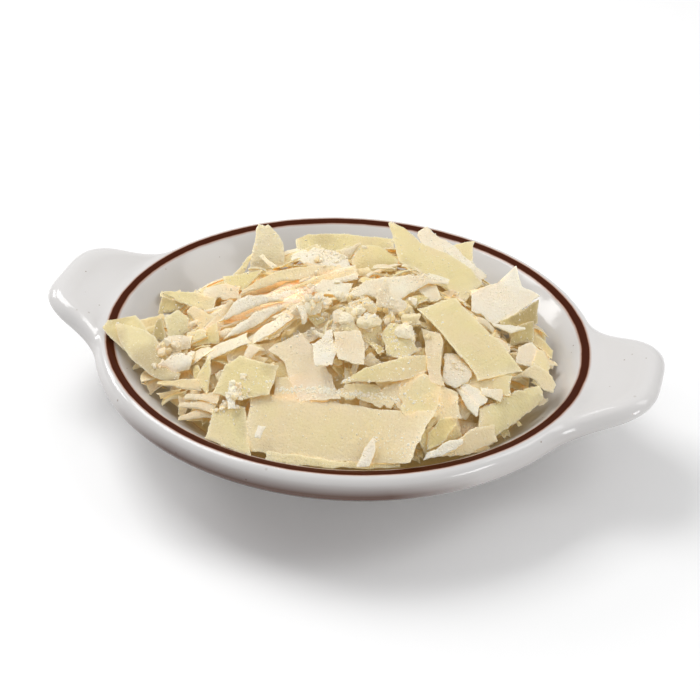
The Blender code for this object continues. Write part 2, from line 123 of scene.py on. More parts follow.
def newObject(name, points, faces, attributes=None, smooth=True):
    mesh = bpy.data.meshes.new(name)
    mesh.from_pydata((np.asarray(points) * mm).tolist(), [], faces)
    for key, values in (attributes or {}).items():
        mesh.attributes.new(key, "FLOAT", "POINT").data.foreach_set("value", np.asarray(values, np.float32))
    if smooth:
        mesh.shade_smooth()
        mesh.set_sharp_from_angle(angle=sharpAngle)
    made = bpy.data.objects.new(name, mesh)
    bpy.context.scene.collection.objects.link(made)
    return made


def node(tree, kind, **settings):
    made = tree.nodes.new(kind)
    for key, value in settings.items():
        setattr(made, key, value)
    return made


def newMaterial(name):
    made = bpy.data.materials.new(name)
    made.use_nodes = True
    tree = made.node_tree
    return made, tree, tree.nodes["Principled BSDF"]


def ramp(tree, stops):
    made = node(tree, "ShaderNodeValToRGB")
    steps = made.color_ramp.elements
    while len(steps) < len(stops):
        steps.new(0.5)
    for step, (place, colour) in zip(steps, stops):
        step.position = place
        step.color = (*colour, 1)
    return made


def mixColour(tree, factor, first, second):
    made = node(tree, "ShaderNodeMix", data_type="RGBA")
    link = tree.links.new
    link(factor, made.inputs[0])
    for socket, value in ((made.inputs[6], first), (made.inputs[7], second)):
        if isinstance(value, tuple):
            socket.default_value = (*value, 1)
        else:
            link(value, socket)
    return made.outputs[2]


def calculate(tree, operation, first, second=None, clamp=False):
    made = node(tree, "ShaderNodeMath", operation=operation, use_clamp=clamp)
    for socket, value in zip(made.inputs, (first, second)):
        if value is None:
            continue
        if isinstance(value, (int, float)):
            socket.default_value = value
        else:
            tree.links.new(value, socket)
    return made.outputs[0]


def times(tree, first, second, clamp=False):
    return calculate(tree, "MULTIPLY", first, second, clamp)


def rescale(tree, value, start, stop, low, high):
    made = node(tree, "ShaderNodeMapRange")
    tree.links.new(value, made.inputs["Value"])
    for socket, number in zip(list(made.inputs)[1:5], (start, stop, low, high)):
        socket.default_value = number
    return made.outputs[0]


def noiseAt(tree, place, scale, detail=2, roughness=0.5):
    made = node(tree, "ShaderNodeTexNoise")
    made.inputs["Scale"].default_value = scale
    made.inputs["Detail"].default_value = detail
    made.inputs["Roughness"].default_value = roughness
    tree.links.new(place, made.inputs["Vector"])
    return made.outputs["Fac"]


def attribute(tree, name):
    return node(tree, "ShaderNodeAttribute", attribute_name=name).outputs["Fac"]


def bumpOn(tree, shader, height, strength, depth):
    bump = node(tree, "ShaderNodeBump")
    bump.inputs["Strength"].default_value = strength
    bump.inputs["Distance"].default_value = depth * mm
    tree.links.new(height, bump.inputs["Height"])
    tree.links.new(bump.outputs[0], shader.inputs["Normal"])


# a skin over rings of equally many points, closed by the two middle points that follow them
def ringFaces(rings, sides):
    faces = []
    for k in range(rings - 1):
        a, b = k * sides, (k + 1) * sides
        faces += [(a + i, b + i, b + (i + 1) % sides, a + (i + 1) % sides) for i in range(sides)]
    first, end = rings * sides, (rings - 1) * sides
    faces += [(first, i, (i + 1) % sides) for i in range(sides)]
    faces += [(first + 1, end + (i + 1) % sides, end + i) for i in range(sides)]
    return faces


# Dish: an oval bowl with an ear at each end

dish = {
    "lineHalfLength": 85.0,
    "lineHalfWidth": 76.0,
    "rimHeight": 34.0,
    "earReach": 109.4,
    "earHalfWidth": 27.6,
    "earFillet": 9.5,
    "earSquareness": 3.6,
    "earTipSquareness": 6.0,
    "earLift": 8.0,
    "thumbDip": 1.6,
    "thumbReach": (8, 13),
    "rimSpread": 4.8,
    "edgeSpread": 0.93,
    "floorDepth": 26.2,
    "footRecess": 1.9,
    "recessShare": 0.6,
    "directions": 320,
    "farFromLine": 60.0,  # stands for the line's distance where the line can't be
    # distance inwards from the line and depth below the rim
    "innerWall": [(0, 0), (1.6, 0.5), (3.4, 1.9), (6.2, 4.4), (10.2, 8.2), (16, 13.5), (23, 18.7),
                  (32, 23.4), (43, 25.9), (52, 26.2)],
    "floorShares": (0.25, 0.5, 0.75),
    "rimShares": (0.1, 0.2, 0.32, 0.45, 0.58, 0.71, 0.84, 0.93),
    # distance in from the rim's edge and height over the rim
    "rimRoll": [(3.7, 0.25), (2.5, -0.3), (1.4, -1.5), (0.6, -3.3), (0.15, -4.9), (0, -5.85)],
    # distance out from the line, depth below the rim, and the ears' share
    "underside": [(5.73, 5.85, 1), (5.45, 6.85, 0.99), (4.2, 8.1, 0.94), (2, 10.2, 0.8), (-2, 13.2, 0.45),
                  (-9, 17.2, 0.12), (-20, 22.9, 0), (-32, 29.6, 0), (-34, 33.2, 0), (-35.2, 34, 0),
                  (-39, 34, 0), (-40.5, 32.4, 0)],
}


def ovalRadius(angles, outwards):
    return 1 / np.hypot(np.cos(angles) / (dish["lineHalfLength"] + outwards),
                        np.sin(angles) / (dish["lineHalfWidth"] + outwards))


# radius of the rim's oval, smoothly joined to the ears, drawn in by shrink
def rimOutline(angles, shrink, earShare=1.0):
    halfLength = dish["lineHalfLength"] + dish["rimSpread"]
    halfWidth = dish["lineHalfWidth"] + dish["rimSpread"]
    cos, sin = np.abs(np.cos(angles)), np.abs(np.sin(angles))
    grow = dish["edgeSpread"] - shrink
    oval = 1 / np.hypot(cos / (halfLength + grow), sin / (halfWidth + grow))
    low, high = oval.copy(), np.full(angles.shape, 1.5 * dish["earReach"])
    for _ in range(40):
        middle = (low + high) / 2
        x, y = middle * cos, middle * sin
        toOval = (np.hypot(x / halfLength, y / halfWidth) - 1) * halfWidth
        squared = ((x / dish["earReach"]) ** dish["earTipSquareness"]
                   + (y / dish["earHalfWidth"]) ** dish["earSquareness"])
        toEar = (squared ** (1 / dish["earSquareness"]) - 1) * dish["earHalfWidth"]
        mix = np.clip(0.5 + 0.5 * (toEar - toOval) / dish["earFillet"], 0, 1)
        outside = toEar * (1 - mix) + toOval * mix - dish["earFillet"] * mix * (1 - mix) > grow
        high = np.where(outside, middle, high)
        low = np.where(outside, low, middle)
    return oval + (high - oval) * earShare


def earRise(angles, radius):
    x, y = radius * np.cos(angles), radius * np.sin(angles)
    edge = dish["lineHalfLength"] + dish["rimSpread"]
    beyond = (np.hypot(x / edge, y / (dish["lineHalfWidth"] + dish["rimSpread"])) - 1) * edge
    share = np.clip(beyond / (dish["earReach"] - edge), 0, 1.3)
    middle = (edge + dish["earReach"]) / 2 + 1
    along, across = dish["thumbReach"]
    dip = np.exp(-((np.abs(x) - middle) / along) ** 2 - (y / across) ** 2)
    return dish["earLift"] * share - dish["thumbDip"] * dip


# even steps along the rim, so that the ears get their share of points
def rimDirections(count):
    fine = np.linspace(0, 2 * math.pi, 2881)
    radius = rimOutline(fine, 0.0)
    x, y = radius * np.cos(fine), radius * np.sin(fine)
    along = np.concatenate([[0], np.cumsum(np.hypot(np.diff(x), np.diff(y)))])
    return np.interp(np.linspace(0, along[-1], count, endpoint=False), along, fine)


# height of the bowl's inner surface over points of the plan
def bowlHeight(x, y):
    low, high = np.zeros(np.shape(x)), np.full(np.shape(x), dish["lineHalfWidth"] - 0.1)
    for _ in range(24):
        middle = (low + high) / 2
        within = np.hypot(x / (dish["lineHalfLength"] - middle), y / (dish["lineHalfWidth"] - middle)) < 1
        low = np.where(within, middle, low)
        high = np.where(within, high, middle)
    wall = smoothPath(dish["innerWall"], 6)
    return dish["rimHeight"] - np.interp(low, wall[:, 0], wall[:, 1])


def makeDish():
    angles = rimDirections(dish["directions"])
    cos, sin = np.cos(angles), np.sin(angles)
    top, flat, far = dish["rimHeight"], np.ones(angles.shape), dish["farFromLine"]
    rings = []  # radius, height, distance outside the brown line
    wall = smoothPath(dish["innerWall"], 5)
    floor = top - dish["floorDepth"]
    for share in dish["floorShares"]:
        rings.append((ovalRadius(angles, -wall[-1, 0]) * share, floor * flat, -far * flat))
    for inwards, depth in wall[::-1]:
        rings.append((ovalRadius(angles, -inwards), (top - depth) * flat, -inwards * flat))
    line = rings[-1][0]
    roll = smoothPath(dish["rimRoll"], 4)
    crest = rimOutline(angles, roll[0, 0])
    for share in dish["rimShares"]:
        radius = line + (crest - line) * share
        height = top + roll[0, 1] * share + earRise(angles, radius)
        rings.append((radius, height, radius - line))
    for inwards, height in roll:
        radius = rimOutline(angles, inwards)
        rings.append((radius, top + height + earRise(angles, radius), radius - line))
    for outwards, depth, earShare in smoothPath(dish["underside"], 4)[1:]:
        shrink = dish["rimSpread"] + dish["edgeSpread"] - outwards
        radius = rimOutline(angles, shrink, np.clip(earShare, 0, 1))
        height = np.maximum(top - depth, 0) + earRise(angles, radius) * (earShare > 0.01)
        rings.append((radius, height, far * flat))
    rings.append((rings[-1][0] * dish["recessShare"], dish["footRecess"] * flat, far * flat))
    points = np.vstack([np.column_stack([r * cos, r * sin, z]) for r, z, _ in rings])
    points = np.vstack([points, [0, 0, floor], [0, 0, dish["footRecess"]]])
    away = np.append(np.concatenate([d for _, _, d in rings]), [-far, far])
    made = newObject("glazedDish", points, ringFaces(len(rings), len(angles)), {"lineDistance": away})
    made.data.materials.append(glazeMaterial())
    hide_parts("dish")
    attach(made, "root")


glaze = {
    "white": (0.67, 0.655, 0.645),
    "brown": (0.055, 0.012, 0.004),
    "brownEdge": (0.36, 0.15, 0.07),
    "speck": (0.26, 0.19, 0.13),
    # colour of the painted shade and brown reflection on the low outside
    "paintedUnderShade": (0.085, 0.030, 0.014),
    # cells to a metre, reach of the largest speck, and the share of cells without one
    "specks": [(210, 0.13, 0.86), (420, 0.12, 0.90), (95, 0.055, 0.72)],
    "smallestSpeck": 0.05,
    "speckSharpness": 14.0,
    "speckStrength": 0.75,
    # painted shade and a painted brown reflection lie low on the outside, between these heights, distances
    # outside the line and places towards the front
    "paintedShadeHeights": (34.5, 27.5),
    "paintedShadeOutside": (3.0, 4.6),
    "paintedShadeFront": (-58, -74),
    "paintedShadeBehind": 0.25,
    "paintedShadeCover": [(0.0, 0.0), (0.3, 0.18), (0.55, 0.6), (0.8, 0.95)],
    "lineHalfWidth": 1.4,
    "lineWobble": 0.45,
    "lineCover": [(0.0, 1.0), (0.46, 1.0), (0.58, 0.55), (0.78, 0.0)],
    "roughness": 0.12,
    "shine": (0.45, 0.4),  # of the glaze, and how much less on the line
    "waves": 55,
    "waveDepth": 1.2,
}


def greyRamp(tree, value, stops):
    made = ramp(tree, [(place, (grey, grey, grey)) for place, grey in stops])
    tree.links.new(value, made.inputs[0])
    return made.outputs[0]


def glazeMaterial():
    made, tree, shader = newMaterial("speckledGlaze")
    link = tree.links.new
    place = node(tree, "ShaderNodeTexCoord").outputs["Object"]
    # brown specks: one in a few cells
    colour = glaze["white"]
    for scale, reach, without in glaze["specks"]:
        cells = node(tree, "ShaderNodeTexVoronoi")
        cells.inputs["Scale"].default_value = scale
        link(place, cells.inputs["Vector"])
        split = node(tree, "ShaderNodeSeparateColor")
        link(cells.outputs["Color"], split.inputs[0])
        chosen = calculate(tree, "GREATER_THAN", split.outputs[0], without)
        size = calculate(tree, "ADD", times(tree, split.outputs[1], reach), glaze["smallestSpeck"])
        inside = calculate(tree, "SUBTRACT", size, cells.outputs["Distance"])
        soft = times(tree, inside, glaze["speckSharpness"], clamp=True)
        amount = times(tree, times(tree, soft, chosen), glaze["speckStrength"])
        colour = mixColour(tree, amount, colour, glaze["speck"])
    # painted shade and a painted reflection of a brown surface below, low on the outside and most of it on
    # the front, darker towards the bottom
    split = node(tree, "ShaderNodeSeparateXYZ")
    link(place, split.inputs[0])
    high, low = glaze["paintedShadeHeights"]
    down = rescale(tree, split.outputs["Z"], high * mm, low * mm, 0.0, 1.0)
    lowShade = greyRamp(tree, down, glaze["paintedShadeCover"])
    away = attribute(tree, "lineDistance")
    outside = rescale(tree, away, *glaze["paintedShadeOutside"], 0.0, 1.0)
    start, stop = glaze["paintedShadeFront"]
    front = rescale(tree, split.outputs["Y"], start * mm, stop * mm, glaze["paintedShadeBehind"], 1.0)
    underShade = times(tree, lowShade, times(tree, outside, front))
    colour = mixColour(tree, underShade, colour, glaze["paintedUnderShade"])
    # the brown line, a little uneven, with a thin paler edge where it bleeds into the glaze
    wobble = calculate(tree, "SUBTRACT", noiseAt(tree, place, 160), 0.5)
    shift = times(tree, wobble, glaze["lineWobble"])
    distance = calculate(tree, "ABSOLUTE", calculate(tree, "ADD", away, shift))
    band = calculate(tree, "DIVIDE", distance, 2 * glaze["lineHalfWidth"])
    cover = greyRamp(tree, band, glaze["lineCover"])
    tint = ramp(tree, [(0.0, glaze["brown"]), (0.40, glaze["brown"]), (0.56, glaze["brownEdge"])])
    link(band, tint.inputs[0])
    colour = mixColour(tree, cover, colour, tint.outputs[0])
    link(colour, shader.inputs["Base Color"])
    shader.inputs["Roughness"].default_value = glaze["roughness"]
    shine, less = glaze["shine"]
    link(calculate(tree, "SUBTRACT", shine, times(tree, cover, less)), shader.inputs["Specular IOR Level"])
    # the glaze lies a little wavy over the clay
    bumpOn(tree, shader, noiseAt(tree, place, glaze["waves"]), 0.35, glaze["waveDepth"])
    return made


# Cheese: colours and surface

cheese = {
    "cream": (0.80, 0.65, 0.35),
    "yellow": (0.78, 0.66, 0.31),
    "peach": (0.83, 0.67, 0.42),
    # painted shade: olive darkens the shavings that face away from the light, at tone 0
    "shadedOlive": (0.52, 0.40, 0.17),
    "pale": (0.88, 0.81, 0.61),
    "powder": (0.89, 0.86, 0.78),
    # gold, amber and honey: colours of the painted light and shade in the crevices
    "gold": (0.91, 0.71, 0.29),
    "amber": (0.87, 0.55, 0.19),
    "honey": (0.80, 0.53, 0.19),
    "clouds": 65,
    "cloudStrength": 0.9,
    "edgePaleness": 0.6,
    "grains": [(700, 0.64), (1700, 0.58)],  # how fine, and the noise above which a white grain lies
    "grainSharpness": 5.0,
    "grainStrength": 0.7,
    "dusting": 0.55,
    # painted crevice light and shade: how far it looks for cover, how deep it darkens, where gold turns
    # amber, its glow, and between which x amber turns honey
    "creviceReach": 5.5,
    "creviceDepth": [(0.10, 1.0), (0.70, 0.0)],
    "creviceEnd": [(0.45, 0.0), (0.95, 1.0)],
    "creviceGlow": 0.15,
    "amberToHoney": (-8, 16),
    # painted glow of the lumps and crumbs
    "grainGlow": 0.08,
    "glowDepth": 1.5,
    "glowColours": (1.0, 0.82, 0.45),
    "roughness": 0.52,
    "shine": 0.35,
    "crumble": 1100,
    "crumbleDepth": 0.8,
    "marks": 1.3,
    "markStrength": 0.35,
}


def cheeseMaterial(name, powderShare, glow, crevices=True):
    made, tree, shader = newMaterial(name)
    link = tree.links.new
    place = node(tree, "ShaderNodeTexCoord").outputs["Object"]
    # each shaving's tone: olive at 0 is painted shade on shavings turned from the light; yellow, cream, peach
    # and pale are the cheese's own
    tones = ramp(tree, [(0.0, cheese["shadedOlive"]), (0.25, cheese["yellow"]), (0.5, cheese["cream"]),
                        (0.75, cheese["peach"]), (1.0, cheese["pale"])])
    cloud = calculate(tree, "SUBTRACT", noiseAt(tree, place, cheese["clouds"], 3), 0.5)
    drift = times(tree, cloud, cheese["cloudStrength"])
    link(calculate(tree, "ADD", attribute(tree, "tone"), drift, clamp=True), tones.inputs[0])
    # torn edges are paler
    edge = times(tree, attribute(tree, "edge"), cheese["edgePaleness"])
    colour = mixColour(tree, edge, tones.outputs[0], cheese["pale"])
    # fine white grains, and an even dusting where there is much powder
    dust = attribute(tree, "dust")
    powder = calculate(tree, "ADD", dust, powderShare)
    amount = times(tree, powder, cheese["grainStrength"], clamp=True)
    for scale, low in cheese["grains"]:
        over = calculate(tree, "SUBTRACT", noiseAt(tree, place, scale), low)
        spots = times(tree, over, cheese["grainSharpness"], clamp=True)
        colour = mixColour(tree, times(tree, spots, amount), colour, cheese["powder"])
    colour = mixColour(tree, times(tree, dust, cheese["dusting"]), colour, cheese["powder"])
    if crevices:
        # painted light and shade in the crevices: the more hidden a point, the more its colour turns gold,
        # and further down amber on the left and honey on the right, and the more it glows, standing in for
        # light that has been through much cheese
        hidden = node(tree, "ShaderNodeAmbientOcclusion", samples=4)
        hidden.inputs["Distance"].default_value = cheese["creviceReach"] * mm
        depth = greyRamp(tree, hidden.outputs["AO"], cheese["creviceDepth"])
        share = times(tree, depth, calculate(tree, "SUBTRACT", 1.0, edge))
        sides = node(tree, "ShaderNodeSeparateXYZ")
        link(place, sides.inputs[0])
        left, right = cheese["amberToHoney"]
        deep = mixColour(tree, rescale(tree, sides.outputs["X"], left * mm, right * mm, 0.0, 1.0),
                         cheese["amber"], cheese["honey"])
        inner = mixColour(tree, greyRamp(tree, share, cheese["creviceEnd"]), cheese["gold"], deep)
        colour = mixColour(tree, share, colour, inner)
        link(inner, shader.inputs["Emission Color"])
        glowing = times(tree, times(tree, share, share), cheese["creviceGlow"])
        link(glowing, shader.inputs["Emission Strength"])
    else:
        # painted glow: these grains give off a little of their own colour, standing in for light through them
        link(colour, shader.inputs["Emission Color"])
        shader.inputs["Emission Strength"].default_value = cheese["grainGlow"]
    link(colour, shader.inputs["Base Color"])
    shader.inputs["Roughness"].default_value = cheese["roughness"]
    shader.inputs["Specular IOR Level"].default_value = cheese["shine"]
    if glow:
        shader.subsurface_method = "BURLEY"
        shader.inputs["Subsurface Weight"].default_value = glow
        shader.inputs["Subsurface Radius"].default_value = cheese["glowColours"]
        shader.inputs["Subsurface Scale"].default_value = cheese["glowDepth"] * mm
    # crumbly all over, with the blade's fine marks across each shaving
    marks = node(tree, "ShaderNodeTexNoise", noise_dimensions="1D")
    marks.inputs["Scale"].default_value = cheese["marks"]
    link(attribute(tree, "along"), marks.inputs["W"])
    crumble = noiseAt(tree, place, cheese["crumble"], 5, 0.65)
    height = calculate(tree, "ADD", crumble, times(tree, marks.outputs["Fac"], cheese["markStrength"]))
    bumpOn(tree, shader, height, 0.8, cheese["crumbleDepth"])
    return made


# Shavings: thin slabs with torn edges

shaving = {
    "thickness": 1.0,
    "tear": 0.5,  # how far a torn edge wanders
    "tearSteps": [(8, 1.0), (3, 0.7), (0.8, 0.4)],  # in how long steps, with what share of it
    "pitch": 0.6,
}


# even steps along one long edge of a shaving, given by its corners
def edgeLine(corners, count, curved):
    line = smoothPath(corners, 6) if curved and len(corners) > 2 else np.array(corners, float)
    along = np.concatenate([[0], np.cumsum(np.hypot(*np.diff(line, axis=0).T))])
    places = np.linspace(0, along[-1], count)
    return np.column_stack([np.interp(places, along, line[:, k]) for k in (0, 1)])


def straightEdges(length, width, ends=(1, 1)):
    x, start, stop = length / 2, width / 2 * ends[0], width / 2 * ends[1]
    return [(-x, -start), (x, -stop)], [(-x, start), (x, stop)]


# one shaving about its own centre: x along it, y across it, z through it; near and far are its long edges
def slab(rng, near, far, pitch, arch=0.0, curl=0.0, flip=0.0, curved=False, thickness=None, tear=None,
         bites=0):
    length = max(np.ptp(np.array(near)[:, 0]), np.ptp(np.array(far)[:, 0]))
    width = np.array(far)[:, 1].max() - np.array(near)[:, 1].min()
    columns, rows = max(6, int(length / pitch)), max(4, int(width / pitch))
    thick = thickness or shaving["thickness"]
    wander = shaving["tear"] if tear is None else tear
    u = np.linspace(-1, 1, columns + 1)[:, None]
    v = np.linspace(-1, 1, rows + 1)[None, :]
    knots = lambda size, step: max(2, int(size / step))
    tears = lambda size: [(knots(size, step), wander * share) for step, share in shaving["tearSteps"]]
    close, away = edgeLine(near, columns + 1, curved), edgeLine(far, columns + 1, curved)
    # a pointed end has little edge to tear
    room = np.minimum(1, np.hypot(*(away - close).T) / 3)[:, None]
    nearTear, farTear = (raggedLine(rng, columns + 1, tears(length))[:, None] for _ in range(2))
    startTear, stopTear = (raggedLine(rng, rows + 1, tears(width))[None, :] for _ in range(2))
    for _ in range(bites):
        middle, reach, depth = rng.uniform(-0.8, 0.8), rng.uniform(1.0, 2.4) / length, rng.uniform(0.8, 1.8)
        notch = depth * np.exp(-((u - middle) / reach) ** 2)
        if rng.random() < 0.5:
            nearTear = nearTear + notch
        else:
            farTear = farTear - notch
    share = (1 + v) / 2
    x = close[:, :1] * (1 - share) + away[:, :1] * share
    x = x + room * (startTear * ((1 - u) / 2) ** 3 + stopTear * ((1 + u) / 2) ** 3)
    y = close[:, 1:] * (1 - share) + away[:, 1:] * share
    y = y + room * (nearTear * (1 - share) ** 2 + farTear * share ** 2)
    z = arch * (0.5 - u * u) + curl * (0.4 - v * v) + flip * np.clip((u - 0.65) / 0.35, 0, 1) ** 2
    z = z + raggedSheet(rng, columns + 1, rows + 1, knots(length, 8), knots(width, 8), 0.14)
    edge = np.maximum(np.abs(u), np.abs(v)) ** 10
    half = thick / 2 * (1 - 0.6 * edge)
    half = half * (1 + raggedSheet(rng, columns + 1, rows + 1, knots(length, 3), knots(width, 3), 0.2))
    top, low = (np.stack([x, y, z + side * half], -1).reshape(-1, 3) for side in (1, -1))
    attributes = {"edge": np.tile(edge.ravel(), 2), "along": np.tile(x.ravel(), 2)}
    return np.vstack([top, low]), attributes, (columns, rows)


def slabFaces(steps, offset=0):
    columns, rows = steps
    across = rows + 1
    total = (columns + 1) * across
    faces = []
    for i in range(columns):
        for j in range(rows):
            a, b = offset + i * across + j, offset + (i + 1) * across + j
            faces.append((a, b, b + 1, a + 1))
            faces.append((a + total, a + total + 1, b + total + 1, b + total))
    border = [i * across for i in range(columns + 1)]
    border += [columns * across + j for j in range(1, across)]
    border += [i * across + rows for i in range(columns - 1, -1, -1)]
    border += list(range(rows - 1, 0, -1))
    for a, b in zip(border, border[1:] + border[:1]):
        faces.append((offset + a, offset + a + total, offset + b + total, offset + b))
    return faces


def rotated(points, turn, lean, rise):
    spin = Euler((math.radians(lean), -math.radians(rise), math.radians(turn)), "XYZ").to_matrix()
    return points @ np.array(spin).T


# The shavings that show best, placed one by one. Each has its centre, its turn in plan, the lean of its
# width and the rise of its length in degrees, and either its two long edges about its centre or its size.

